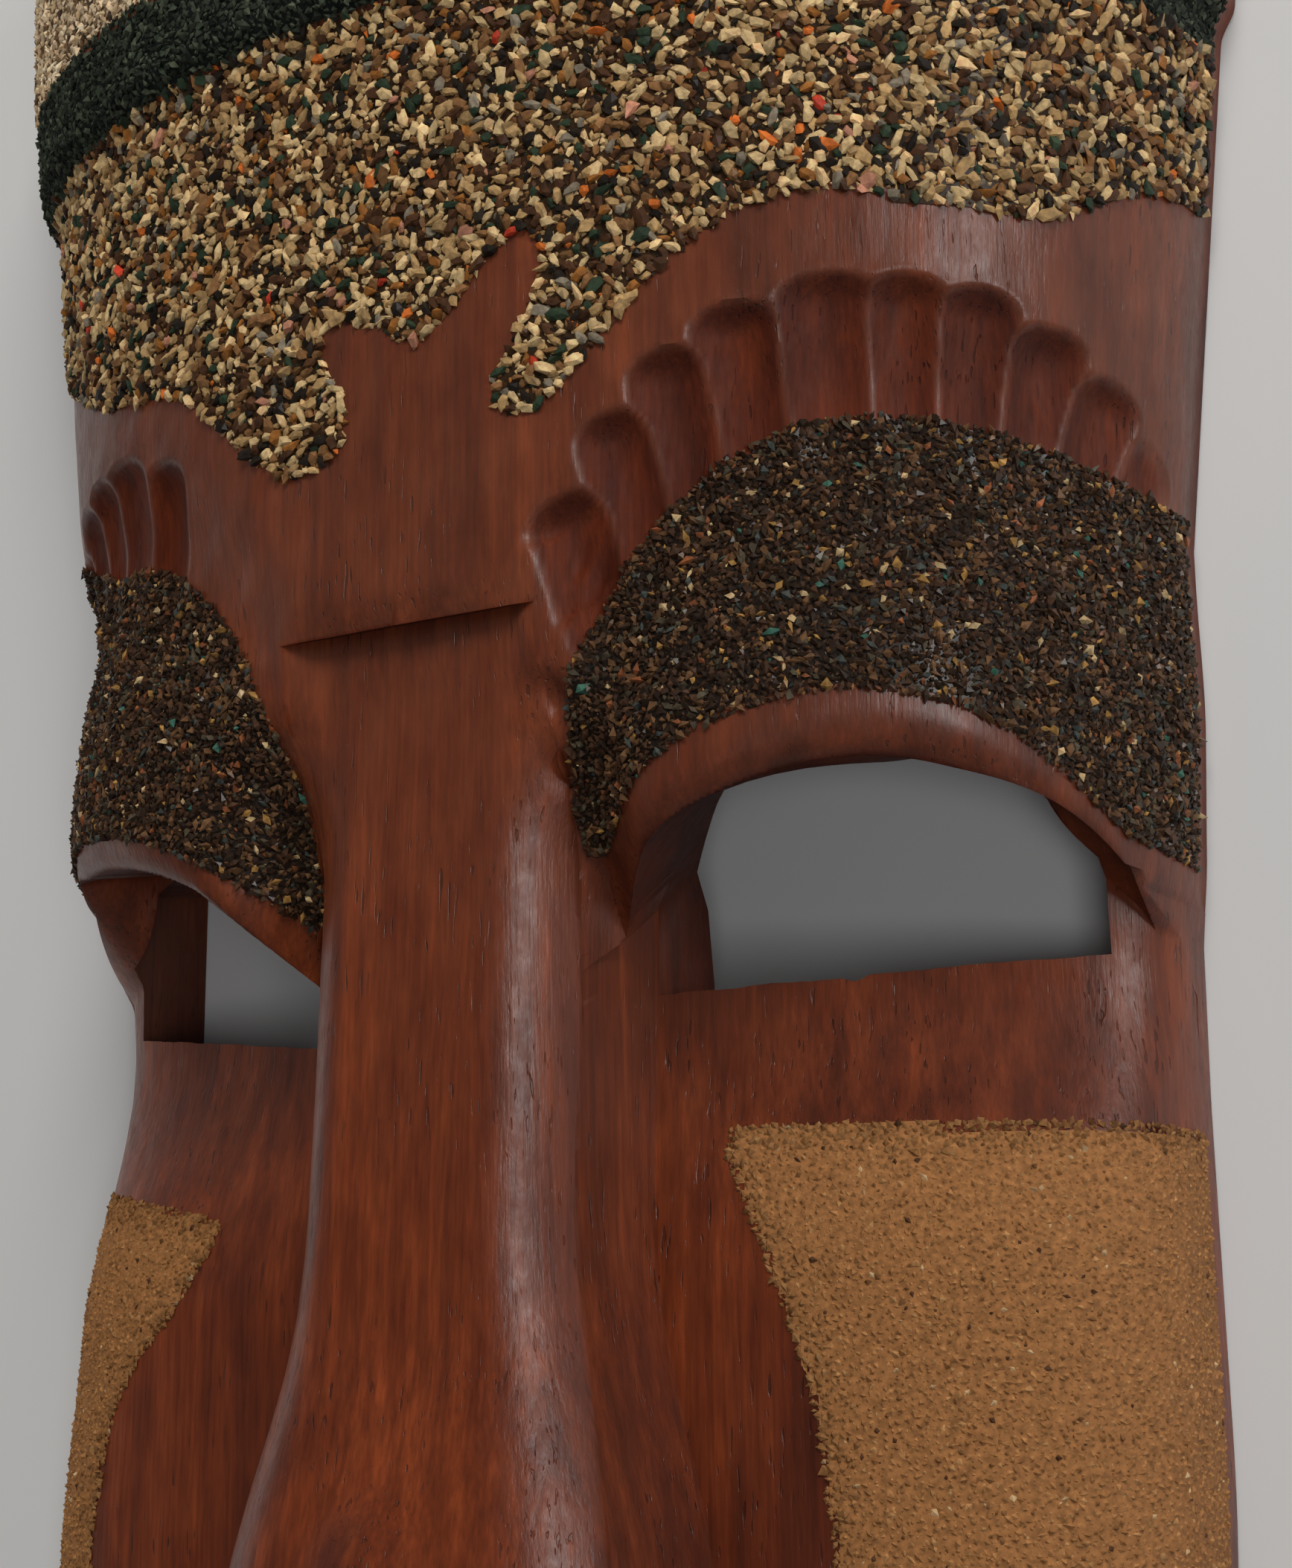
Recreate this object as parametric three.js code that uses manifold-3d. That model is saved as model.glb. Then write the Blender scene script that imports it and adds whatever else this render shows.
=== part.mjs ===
// Carved hardwood face mask with glued grit and sand, lying on its back rim.
// Millimetres. +Z is the way the face looks, +Y points to the crown, +X is the right of the picture.
// Face heights (y) are measured from the lower edge of the eyes; the whole is centred at the end.
import * as THREE from 'three';
import { mergeVertices } from 'three/addons/utils/BufferGeometryUtils.js';
import Module from 'manifold-3d';

const wasm = await Module();
wasm.setup();

// Overall outline
const CROWN_Y = 171;
const CHIN_Y = -135;
const CHEEK_HALF_WIDTH = 62;
const LID_HALF_WIDTH = 64;
const BROW_Y = 45;
const FOREHEAD_FLARE = 0.12;
const CROWN_SIDE_STEP = 1.3;
const CROWN_ROUND_Y = 130;
const CHIN_ROUND_Y = -40;
const END_HALF_WIDTH = 5;
const LEFT_CHEEK_SWELL = { width: 4, from: -6, to: -70 };
const COLUMN_SQUEEZE_WIDTH = 58;

// Upper face: one domed surface over forehead and eyelids
const RIM_HEIGHT = 3;
const DOME_DEPTH = 46;
const DOME_POWER = 2.04;
const CROWN_FALL_Y = 112;
const CROWN_STEP = 2.4;
const BAND_LOW_Y = 101.5;
const BAND_WIDTH = 11.5;
const CROWN_SAND_Y = 162;
const BAND_DIP = { depth: 4.5, from: 42, to: 66 };
const STEP_BELOW = 1.5;
const STEP_ABOVE = 2.5;
const BROW_OVERHANG_Y = 34.5;
const BROW_SLANT = 0.3;
const FLANK_BLEND = { low: 24, high: 36 };

// Lower face
const CHEEK_DEPTH = 25;
const CHEEK_POWER = 3.2;
const FACE_EDGE = 2.4;
const RECESS_INNER_HEIGHT = 26;
const RECESS_SLOPE = 0.317;
const CHEEK_BLEND = { high: 3, low: -28 };

// Nose column
const NOSE_HALF = 14.5;
const NOSE_BASE_HALF = 16.2;
const NOSE_FLAT_HALF = 8;
const NOSE_ROOT_HEIGHT = 45;
const NOSE_RISE = 3.5;
const NOSE_TIP_RISE = { height: 4, from: -30, to: -62 };
const NOSE_CORNER_DROP = 7.5;
const NOSE_CORNER_POWER = 2.2;
const NOSE_CORNER_BLEND = { low: 10, high: 30 };
const NOSE_END_Y = -62;
const NOSE_SPREAD = { share: 0.4, from: -20, widest: -62, under: -62, gone: -80 };

// Hood over each eye, as the plan curve of its lower edge; the left one ends almost level
const HOOD_POWER = 1.6;
const RIGHT_HOOD = { apexX: 43, apexY: 18.4, innerReach: 28.6, outerReach: 18.2, outerBaseY: 5, tip: 60.4 };
const LEFT_HOOD = { apexX: 50, apexY: 18.4, innerReach: 35.6, outerReach: 22, outerBaseY: 10, tip: 63 };
const LEFT_HOOD_SAG = { by: 4, from: 28, to: 15 };
const HOOD_TIP_SLOPE = 0.27;
const HOOD_ROLL = 2;
const HOOD_ROLL_WIDTH = 4.5;
const HOOD_SLANT = 0.22;
const INNER_SLANT = { more: 0.4, from: 18, to: 40 };
const HOOD_WEB = { slope: 1.15, leftDrop: 7.5, rightDrop: 3.5, from: 49, to: 59 };
const VALLEY_LOW = 29;
const VALLEY_RISE = 0.72;
const VALLEY_OUTER = 27;
const VALLEY_STEP = 0.6;
const LID_DROP = 2.2;
const LID_BULGE = 3;
const LID_SIDE_BULGE = 0.6;

// Rounded forms, each by its centre and half sizes
const NOSE_TIP = { x: 0, y: -56, z: 38, wide: 11.5, high: 13, deep: 16 };
const NOSE_WING = { x: 13.4, y: -55.5, z: 31.5, wide: 8.8, high: 12.5, deep: 12.5 };
const NOSTRIL = { x: 11, y: -68.5, z: 33, wide: 4.2, high: 5, deep: 5 };
const UPPER_LIP = { x: 0, y: -88, z: 23.5, wide: 25, high: 5.6, deep: 9 };
const LOWER_LIP = { x: 0, y: -97.5, z: 22.5, wide: 21, high: 6.4, deep: 9.5 };
const CHIN = { x: 0, y: -120, z: 13.5, wide: 17, high: 11, deep: 11.5 };

// Pierced eye
const EYE_INNER = 16.4;
const EYE_OUTER = 57;
const EYE_TOOL_RISE = 2;
const EYE_TOOL_DROP = 1.5;
const RIGHT_SILL = { inner: 0.4, outer: 2.8 };
const LEFT_SILL = { inner: -2.3, outer: 4.4 };

// Dark grit round the eye: an ellipse above, which on the left rises on outwards, and a rim's width below
const EYE_CENTRE = { x: 45, y: 9 };
const GRIT_OUTER = { inner: 30.9, outer: 40, up: 43.6 };
const LEFT_GRIT_OUTER = { inner: 31.7, outer: 40, up: 41.5 };
const LEFT_GRIT_SLOPE = 0.5;
const GRIT_RIM_WIDTH = { left: 3.2, right: 6 };
const GRIT_INNER_END = 16.3;
const GRIT_LOW_Y = { left: 8, right: 12 };
const GRIT_RIM_NARROWING = { left: 0, right: 2.5, from: 50, to: 66 };

// Fan of gouge cuts over the eye, by the tops of the cuts; the left fan is lower and starts further out
const GOUGE_TOPS = [
  [17.9, 45.3], [22.5, 53], [27.7, 58.8], [33.7, 63], [42.1, 65.8], [48.6, 65.8], [54.3, 64.9], [59.3, 61.8],
  [62.6, 57.8],
];
const LEFT_GOUGE_DROP = 3.4;
const LEFT_GOUGES_SKIPPED = 3;
const GOUGE_FOCUS = { x: 41, y: -40 };
const GOUGE_RADIUS = 4.6;
const GOUGE_LENGTH = 17;
const GOUGE_DEPTH = 3;
const GOUGE_RUN_OUT = 0.55;
const LEFT_GOUGE_DEPTH = 2.3;

// Hollow back
const RIM_WIDTH = 10;
const HOLLOW_FOREHEAD = 33;
const HOLLOW_FACE = 14.5;
const HOLLOW_POWER = 2.6;
const HOLLOW_END = 4;
const HOLLOW_STEP = { low: 6, high: 38 };
const HOLLOW_PLAN_POWER = 3;

// Glued layers
const GLUE_GAP = 0.35;
const COARSE_THICKNESS = 1.5;
const DARK_THICKNESS = 1.4;
const SAND_THICKNESS = 0.9;

const RIM_REFERENCE_X = 60;
const REACH = 90;
const CENTRE_Y = (CROWN_Y + CHIN_Y) / 2;
const TOOL_TOP = 90;
const TOOL_BELOW = 10;
const TOOL_BESIDE = 12;
const NOSE_BLOCK_TOP = 57;
const BROW_BLOCK_GAP = 4;

const WOOD = new THREE.MeshStandardMaterial({ color: 0x5a2d23, roughness: 0.42, metalness: 0 });
const PALE_GRIT = new THREE.MeshStandardMaterial({ color: 0xa08a68, roughness: 0.9, metalness: 0 });
const DARK_GRIT = new THREE.MeshStandardMaterial({ color: 0x33291f, roughness: 0.6, metalness: 0 });
const GREEN_GRIT = new THREE.MeshStandardMaterial({ color: 0x28302a, roughness: 0.9, metalness: 0 });
const TAN_SAND = new THREE.MeshStandardMaterial({ color: 0x966e41, roughness: 0.95, metalness: 0 });
const CROWN_TAN = new THREE.MeshStandardMaterial({ color: 0xa59173, roughness: 0.95, metalness: 0 });

const clamp = (v, low = 0, high = 1) => Math.min(high, Math.max(low, v));
const mix = (a, b, t) => a + (b - a) * t;
const smooth = (low, high, v) => {
  const t = clamp((v - low) / (high - low));
  return t * t * (3 - 2 * t);
};
// The same ramp going down: 0 at high and above, 1 at low and below
const falling = (high, low, v) => 1 - smooth(low, high, v);
const roundOff = (t, power) => Math.pow(Math.max(0, 1 - Math.pow(clamp(t), power)), 1 / power);
const steps = (from, to, count) => Array.from({ length: count + 1 }, (_, i) => mix(from, to, i / count));

// Half width of the mask at height y
function halfWidth(y) {
  const middle = mix(CHEEK_HALF_WIDTH, LID_HALF_WIDTH, smooth(-5, BROW_Y, y));
  const lid = LID_SIDE_BULGE * smooth(2, 14, y) * (1 - smooth(26, 42, y));
  const step = CROWN_SIDE_STEP * smooth(BAND_LOW_Y - STEP_BELOW, BAND_LOW_Y + STEP_ABOVE, y);
  const flared = middle + lid + step + FOREHEAD_FLARE * Math.max(0, Math.min(y, CROWN_ROUND_Y) - BROW_Y);
  const crown = roundOff((y - CROWN_ROUND_Y) / (CROWN_Y - CROWN_ROUND_Y), 2.4);
  const chin = roundOff((CHIN_ROUND_Y - y) / (CHIN_ROUND_Y - CHIN_Y), 2.2);
  return Math.max(END_HALF_WIDTH, flared * crown * chin);
}

// Lower edge of the green band, which dips on the right
const bandLow = (x) => BAND_LOW_Y - BAND_DIP.depth * smooth(BAND_DIP.from, BAND_DIP.to, x);

// Distance from an eye-centred ellipse, 1 on its line; a is the distance from the mask's middle
function ellipse(a, y, ring) {
  const across = (a - EYE_CENTRE.x) / (a < EYE_CENTRE.x ? ring.inner : ring.outer);
  return Math.hypot(across, (y - EYE_CENTRE.y) / ring.up);
}

// Curve of the hood over the eye at x
function hoodCurve(x) {
  const hood = x < 0 ? LEFT_HOOD : RIGHT_HOOD;
  const a = Math.abs(x);
  if (a < hood.apexX) return hood.apexY * roundOff((hood.apexX - a) / hood.innerReach, HOOD_POWER);
  const rise = hood.apexY - hood.outerBaseY;
  const at = (v) => hood.outerBaseY + rise * roundOff((v - hood.apexX) / hood.outerReach, 2);
  return a < hood.tip ? at(a) : at(hood.tip) - HOOD_TIP_SLOPE * (a - hood.tip);
}

// Lower edge of the hood: its curve, but the left hood sags where it meets the nose
function hoodEdge(x) {
  const sag = x < 0 ? LEFT_HOOD_SAG.by * falling(LEFT_HOOD_SAG.from, LEFT_HOOD_SAG.to, -x) : 0;
  return hoodCurve(x) - sag;
}

// Height at which the upper face ends: the hood's edge, or the brow over the nose
const upperEdge = (x) => (Math.abs(x) < NOSE_HALF - 0.1 ? BROW_OVERHANG_Y : hoodEdge(x));

// Forehead and eyelid surface
function upperHeight(x, y) {
  const a = Math.abs(x);
  const width = halfWidth(y);
  const fall = roundOff((y - CROWN_FALL_Y) / (CROWN_Y - CROWN_FALL_Y), 2.2);
  const dome = DOME_DEPTH * roundOff(a / width, DOME_POWER);
  const cap = CROWN_STEP * smooth(bandLow(x) - STEP_BELOW, bandLow(x) + STEP_ABOVE, y);
  let z = RIM_HEIGHT + dome * fall + cap * Math.min(1, dome / 12) * fall;
  if (y > BROW_OVERHANG_Y + 45) return z;
  if (a < NOSE_HALF - 0.1 && y < BROW_OVERHANG_Y - BROW_BLOCK_GAP) return NOSE_BLOCK_TOP;
  if (a < VALLEY_OUTER && y < NOSE_SPREAD.from) return NOSE_BLOCK_TOP;
  const edge = hoodEdge(x);
  const fromEye = ellipse(a, y, GRIT_OUTER);
  const lid = LID_BULGE * (1 - smooth(0.3, 1, fromEye)) - LID_DROP * (1 - smooth(1, 1.3, fromEye));
  z += lid * Math.min(1, dome / 10);
  const above = clamp((y - edge) / HOOD_ROLL_WIDTH);
  if (a > NOSE_HALF) z -= HOOD_ROLL * (1 - above) * (1 - above);
  if (a < VALLEY_OUTER && a > NOSE_HALF - 0.1) {
    const corner = noseHeight(NOSE_HALF, y);
    const low = Math.min(VALLEY_LOW + VALLEY_RISE * Math.max(0, y), corner - VALLEY_STEP);
    const wall = mix(corner, low, (a - NOSE_HALF) / (NOSE_BASE_HALF - NOSE_HALF));
    const bank = mix(low, z, smooth(NOSE_BASE_HALF, VALLEY_OUTER, a));
    const flank = a < NOSE_BASE_HALF ? wall : bank;
    z = mix(flank, z, smooth(FLANK_BLEND.low, FLANK_BLEND.high, y));
  }
  return z;
}

// Front of the nose column; its corners are rounded
function noseHeight(a, y) {
  const ridge = NOSE_ROOT_HEIGHT + NOSE_RISE * falling(BROW_OVERHANG_Y, NOSE_END_Y, y);
  const forward = ridge + NOSE_TIP_RISE.height * falling(NOSE_TIP_RISE.from, NOSE_TIP_RISE.to, y);
  const corner = clamp((a - NOSE_FLAT_HALF) / (NOSE_HALF - NOSE_FLAT_HALF));
  const drop = NOSE_CORNER_DROP * (1 - smooth(NOSE_CORNER_BLEND.low, NOSE_CORNER_BLEND.high, y));
  return forward - drop * Math.pow(corner, NOSE_CORNER_POWER);
}

// How much wider the nose is at height y than at the eyes
function noseSpread(y) {
  const { from, widest, under, gone } = NOSE_SPREAD;
  return 1 + NOSE_SPREAD.share * (falling(from, widest, y) - falling(under, gone, y));
}

// Lower face: flat recess under the eye, bulging cheek, mouth and chin
function cheekHeight(a, y) {
  const across = clamp(a / halfWidth(y));
  const fall = roundOff((CHIN_ROUND_Y - y) / (CHIN_ROUND_Y - CHIN_Y), 2.4);
  const bulge = FACE_EDGE + CHEEK_DEPTH * roundOff(across, CHEEK_POWER) * fall;
  const plane = RECESS_INNER_HEIGHT - RECESS_SLOPE * (a - NOSE_BASE_HALF);
  const recess = FACE_EDGE + (plane - FACE_EDGE) * Math.pow(1 - Math.pow(across, 12), 0.4);
  return mix(recess, bulge, falling(CHEEK_BLEND.high, CHEEK_BLEND.low, y));
}

// Rise of the recess where the outer end of a hood runs down into the side of the mask
function hoodWeb(x, y) {
  const start = hoodEdge(x) - (x < 0 ? HOOD_WEB.leftDrop : HOOD_WEB.rightDrop);
  return HOOD_WEB.slope * Math.max(0, y - start) * smooth(HOOD_WEB.from, HOOD_WEB.to, Math.abs(x));
}

function faceHeight(x, y) {
  const a = Math.abs(x);
  const half = NOSE_HALF * noseSpread(y);
  const base = NOSE_BASE_HALF * noseSpread(y);
  const cheek = cheekHeight(a, y) + (y > 0 ? hoodWeb(x, y) : 0);
  const under = falling(NOSE_END_Y, NOSE_END_Y - 5, y);
  if (a >= base || under >= 1) return cheek;
  const nose = a <= half
    ? noseHeight((a * NOSE_HALF) / half, y)
    : mix(noseHeight(NOSE_HALF, y), cheek, (a - half) / (base - half));
  return mix(nose, cheek, under);
}

// Distances from the middle at which a sheet's columns run, out to the edge at height y
function columns(y, inner, outerCount, spread = 1) {
  const width = halfWidth(y);
  const squeeze = Math.min(1, width / COLUMN_SQUEEZE_WIDTH);
  const last = inner[inner.length - 1];
  const fixed = inner.map((a) => mix(a, a * spread, 1 - smooth(NOSE_BASE_HALF, last, a)) * squeeze);
  const start = last * squeeze;
  const turns = steps(0, Math.PI / 2, outerCount).slice(1);
  const half = [...fixed, ...turns.map((t) => start + (width - start) * Math.sin(t))];
  return [...half.slice(1).reverse().map((a) => -a), ...half];
}

// Vertices of a height surface, moved out along its normal by offset; a row is a function of x
function sheet(rows, columnsAt, height, offset = 0) {
  const grid = rows.map((row) => columnsAt(row(RIM_REFERENCE_X)).map((x) => {
    const y = row(x);
    return new THREE.Vector3(x, y, height(x, y));
  }));
  if (!offset) return grid;
  const last = (list) => list.length - 1;
  return grid.map((row, j) => row.map((point, i) => {
    const left = row[Math.max(0, i - 1)];
    const right = row[Math.min(last(row), i + 1)];
    const below = grid[Math.max(0, j - 1)][i];
    const above = grid[Math.min(last(grid), j + 1)][i];
    const normal = right.clone().sub(left).cross(above.clone().sub(below)).normalize();
    return point.clone().addScaledVector(normal, offset);
  }));
}

// Closed solid standing on the plane z = 0 under a grid
function standing(grid) {
  const columnCount = grid[0].length;
  const last = { row: grid.length - 1, column: columnCount - 1 };
  const positions = grid.flat().flatMap((p) => [p.x, p.y, p.z]);
  const index = [];
  const at = (j, i) => j * columnCount + i;
  for (let j = 0; j < last.row; j += 1) {
    for (let i = 0; i < last.column; i += 1) {
      index.push(at(j, i), at(j, i + 1), at(j + 1, i + 1), at(j, i), at(j + 1, i + 1), at(j + 1, i));
    }
  }
  const border = [
    ...grid[0].map((_, i) => at(0, i)),
    ...grid.slice(1).map((_, j) => at(j + 1, last.column)),
    ...grid[0].slice(1).map((_, i) => at(last.row, last.column - 1 - i)),
    ...grid.slice(2).map((_, j) => at(last.row - 1 - j, 0)),
  ];
  const base = grid.length * columnCount;
  const outline = border.map((v) => new THREE.Vector2(positions[3 * v], positions[3 * v + 1]));
  for (const p of outline) positions.push(p.x, p.y, 0);
  border.forEach((v, k) => {
    const next = (k + 1) % border.length;
    index.push(v, base + k, base + next, v, base + next, border[next]);
  });
  for (const [a, b, c] of THREE.ShapeUtils.triangulateShape(outline, [])) {
    index.push(base + a, base + c, base + b);
  }
  return solid(positions, index);
}

// Closed solid between an upper and a lower grid of the same size
function between(upper, lower) {
  const columnCount = upper[0].length;
  const last = { row: upper.length - 1, column: columnCount - 1 };
  const positions = [...upper.flat(), ...lower.flat()].flatMap((p) => [p.x, p.y, p.z]);
  const index = [];
  const top = (j, i) => j * columnCount + i;
  const low = (j, i) => (last.row + 1 + j) * columnCount + i;
  const quad = (a, b, c, d) => index.push(a, b, c, a, c, d);
  const wall = (j, i, nextJ, nextI) => quad(top(j, i), top(nextJ, nextI), low(nextJ, nextI), low(j, i));
  for (let j = 0; j < last.row; j += 1) {
    for (let i = 0; i < last.column; i += 1) {
      quad(top(j, i), top(j, i + 1), top(j + 1, i + 1), top(j + 1, i));
      quad(low(j, i), low(j + 1, i), low(j + 1, i + 1), low(j, i + 1));
    }
    wall(j, 0, j + 1, 0);
    wall(j + 1, last.column, j, last.column);
  }
  for (let i = 0; i < last.column; i += 1) {
    wall(0, i + 1, 0, i);
    wall(last.row, i, last.row, i + 1);
  }
  return solid(positions, index);
}

function solid(positions, index) {
  return new wasm.Manifold(new wasm.Mesh({
    numProp: 3,
    vertProperties: new Float32Array(positions),
    triVerts: new Uint32Array(index),
  }));
}

function solidOf(geometry) {
  const bare = geometry.index ? geometry.toNonIndexed() : geometry;
  bare.deleteAttribute('normal');
  bare.deleteAttribute('uv');
  const merged = mergeVertices(bare, 1e-4);
  return solid(merged.attributes.position.array, merged.index.array);
}

// The left cheek is carved a little fuller than the right
function swellLeft(x, y) {
  const share = clamp(-x / CHEEK_HALF_WIDTH, 0, 1.1);
  const { width, from, to } = LEFT_CHEEK_SWELL;
  return x - width * share * share * falling(from, to, y);
}

function meshOf(manifold, name, material) {
  const { vertProperties, triVerts } = manifold.getMesh();
  for (let i = 0; i < vertProperties.length; i += 3) {
    vertProperties[i] = swellLeft(vertProperties[i], vertProperties[i + 1]);
  }
  const geometry = new THREE.BufferGeometry();
  geometry.setAttribute('position', new THREE.BufferAttribute(new Float32Array(vertProperties), 3));
  geometry.setIndex(new THREE.BufferAttribute(new Uint32Array(triVerts), 1));
  const mesh = new THREE.Mesh(geometry, material);
  mesh.name = name;
  mesh.position.y = -CENTRE_Y;
  return mesh;
}

function ellipsoid(form, side, around, down) {
  const ball = new THREE.SphereGeometry(1, around, down);
  ball.scale(form.wide, form.high, form.deep);
  ball.translate(form.x * side, form.y, form.z);
  return solidOf(ball);
}

// Prism of a plan outline, tall enough to pass through the whole mask
function prism(points) {
  const depth = TOOL_TOP + TOOL_BELOW;
  const outline = new THREE.ExtrudeGeometry(new THREE.Shape(points), { depth, bevelEnabled: false });
  outline.translate(0, 0, -TOOL_BELOW);
  return solidOf(outline);
}

const flat = (grid, z) => grid.map((row) => row.map((p) => new THREE.Vector3(p.x, p.y, z)));

const DOME_INNER = [0, 7.5, 14.2, 14.6, 17, 22, 30];
const DOME_OUTER_COUNT = 6;
const domeColumns = (y) => columns(y, DOME_INNER, DOME_OUTER_COUNT);

const FACE_LOW_ROWS = [
  CHIN_Y, -133.8, -129, -120, -107, -88, -72, -67, -62, -56, -46, -36, -27, -18, -10, -4,
];

// Rows of the upper face; those below ROWS_LEVEL_Y follow the edge of the hood or brow
const ROWS_LEVEL_Y = 54;
const EDGE_ROWS = [-2.5, 0, 1.4, HOOD_ROLL_WIDTH];
const DOME_HIGH_ROWS = [61, 70, 82, 96, 100, 104, 115, 128, 141, 153, 162, 168.5, CROWN_Y];
const followEdge = (offset) => (x) => upperEdge(x) + offset;
const LEVEL_ROWS = FACE_LOW_ROWS.slice(0, -1);
const DOME_ROWS = [
  ...LEVEL_ROWS.map((y) => () => y),
  ...EDGE_ROWS.map(followEdge),
  ...steps(0, 1, 5).slice(1).map((t) => (x) => mix(upperEdge(x) + HOOD_ROLL_WIDTH, ROWS_LEVEL_Y, t)),
  ...DOME_HIGH_ROWS.map((y) => () => y),
];

const FACE_INNER = [0, 8, 11.8, 14.5, 15, 16.2, 22, 30];
const FACE_OUTER_COUNT = 6;
const faceColumns = (y) => columns(y, FACE_INNER, FACE_OUTER_COUNT, noseSpread(y));

// Slant of the hood's underside: millimetres up for each millimetre back
const slant = (a) => HOOD_SLANT + INNER_SLANT.more * falling(INNER_SLANT.to, INNER_SLANT.from, a);

// Height of the underside of brow and hood, where it passes depth z
function ceiling(x, z) {
  const a = Math.abs(x);
  if (a < NOSE_HALF + 0.05) return BROW_OVERHANG_Y + BROW_SLANT * (NOSE_ROOT_HEIGHT + NOSE_RISE - z);
  const edge = hoodEdge(x);
  return edge + 0.15 + (upperHeight(x, edge) - z) * slant(a);
}

// Everything in front of the lower face, up to the underside of brow and hoods
function lowerFaceSpace() {
  const extended = (y) => {
    const xs = faceColumns(y);
    const outside = halfWidth(y) + TOOL_BESIDE;
    return [-outside, ...xs, outside];
  };
  const floorPoint = (x, y) => {
    const z = Math.abs(x) > halfWidth(y) ? FACE_EDGE : faceHeight(x, y);
    return new THREE.Vector3(x, y, z);
  };
  const floor = LEVEL_ROWS.map((y) => extended(y).map((x) => floorPoint(x, y)));
  floor.unshift(extended(CHIN_Y).map((x) => new THREE.Vector3(x, CHIN_Y - TOOL_BESIDE, FACE_EDGE)));
  const roof = flat(floor, TOOL_TOP);
  const lastRow = LEVEL_ROWS[LEVEL_ROWS.length - 1];
  const across = extended(0);
  const inside = (x) => clamp(x, -halfWidth(0), halfWidth(0));
  const base = across.map((x) => ceiling(inside(x), faceHeight(inside(x), 0)));
  const high = across.map((x) => ceiling(inside(x), TOOL_TOP));
  for (const part of steps(0, 1, 6).slice(1)) {
    floor.push(across.map((x, i) => floorPoint(x, mix(lastRow, base[i], part))));
    roof.push(across.map((x, i) => new THREE.Vector3(x, mix(lastRow, high[i], part), TOOL_TOP)));
  }
  return between(roof, floor);
}

// D-shaped hole through the recess, its top in line with the hood's underside
function eyeHole(side) {
  const inner = faceColumns(0).filter((a) => a > EYE_INNER && a < EYE_OUTER - 1);
  const as = [EYE_INNER, ...inner, EYE_OUTER];
  const ends = side < 0 ? LEFT_SILL : RIGHT_SILL;
  const sill = (a) => mix(ends.inner, ends.outer, (a - EYE_INNER) / (EYE_OUTER - EYE_INNER));
  const floor = (a) => faceHeight(a, 0);
  const levels = [
    { z: () => -TOOL_BELOW, drop: 0 },
    { z: floor, drop: 0 },
    { z: (a) => floor(a) + EYE_TOOL_RISE, drop: EYE_TOOL_DROP },
  ];
  const count = as.length;
  const positions = [];
  for (const { z, drop } of levels) {
    for (const a of as) positions.push(a * side, sill(a), z(a));
    for (const a of as) positions.push(a * side, ceiling(a * side, z(a)) - drop, z(a));
  }
  const index = [];
  const at = (level, top, i) => (2 * level + top) * count + i;
  const quad = (a, b, c, d) => (side > 0 ? index.push(a, b, c, a, c, d) : index.push(a, c, b, a, d, c));
  const last = levels.length - 1;
  for (let i = 0; i + 1 < count; i += 1) {
    quad(at(last, 0, i), at(last, 0, i + 1), at(last, 1, i + 1), at(last, 1, i));
    quad(at(0, 0, i), at(0, 1, i), at(0, 1, i + 1), at(0, 0, i + 1));
    for (let n = 0; n < last; n += 1) {
      quad(at(n, 0, i), at(n, 0, i + 1), at(n + 1, 0, i + 1), at(n + 1, 0, i));
      quad(at(n, 1, i + 1), at(n, 1, i), at(n + 1, 1, i), at(n + 1, 1, i + 1));
    }
  }
  for (let n = 0; n < last; n += 1) {
    quad(at(n, 1, 0), at(n, 0, 0), at(n + 1, 0, 0), at(n + 1, 1, 0));
    quad(at(n, 0, count - 1), at(n, 1, count - 1), at(n + 1, 1, count - 1), at(n + 1, 0, count - 1));
  }
  return solid(positions, index);
}

// One gouge cut: a round-nosed tool that enters deep at the top and runs out towards the eye
function gouge(x, y, focus, depth) {
  const lift = upperHeight(x, y);
  const toFocus = new THREE.Vector2(focus.x - x, focus.y - y).normalize();
  const far = new THREE.Vector2(x, y).addScaledVector(toFocus, GOUGE_LENGTH);
  const start = new THREE.Vector3(x, y, lift);
  const end = new THREE.Vector3(far.x, far.y, upperHeight(far.x, far.y));
  const slopeX = (upperHeight(x + 1, y) - upperHeight(x - 1, y)) / 2;
  const slopeY = (upperHeight(x, y + 1) - upperHeight(x, y - 1)) / 2;
  const normal = new THREE.Vector3(-slopeX, -slopeY, 1).normalize();
  const axis = end.clone().sub(start).normalize();
  const radius = GOUGE_RADIUS;
  start.addScaledVector(axis, radius).addScaledVector(normal, radius - depth);
  end.addScaledVector(normal, radius - depth * GOUGE_RUN_OUT);
  const run = end.distanceTo(start);
  const profile = [
    ...steps(-Math.PI / 2, 0, 2).map((t) => new THREE.Vector2(radius * Math.cos(t), radius * Math.sin(t))),
    new THREE.Vector2(radius * 0.82, run),
    new THREE.Vector2(0, run + radius * 0.5),
  ];
  profile[0].x = 0;
  const tool = new THREE.LatheGeometry(profile, 8);
  const ahead = end.sub(start).normalize();
  tool.applyQuaternion(new THREE.Quaternion().setFromUnitVectors(new THREE.Vector3(0, 1, 0), ahead));
  tool.translate(start.x, start.y, start.z);
  return solidOf(tool);
}

function gougeRow(side) {
  const focus = { x: GOUGE_FOCUS.x * side, y: GOUGE_FOCUS.y };
  const left = side < 0;
  const depth = left ? LEFT_GOUGE_DEPTH : GOUGE_DEPTH;
  const drop = left ? LEFT_GOUGE_DROP : 0;
  const tops = GOUGE_TOPS.slice(left ? LEFT_GOUGES_SKIPPED : 0);
  return tops.map(([a, y]) => gouge(a * side, y - drop, focus, depth));
}

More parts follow.
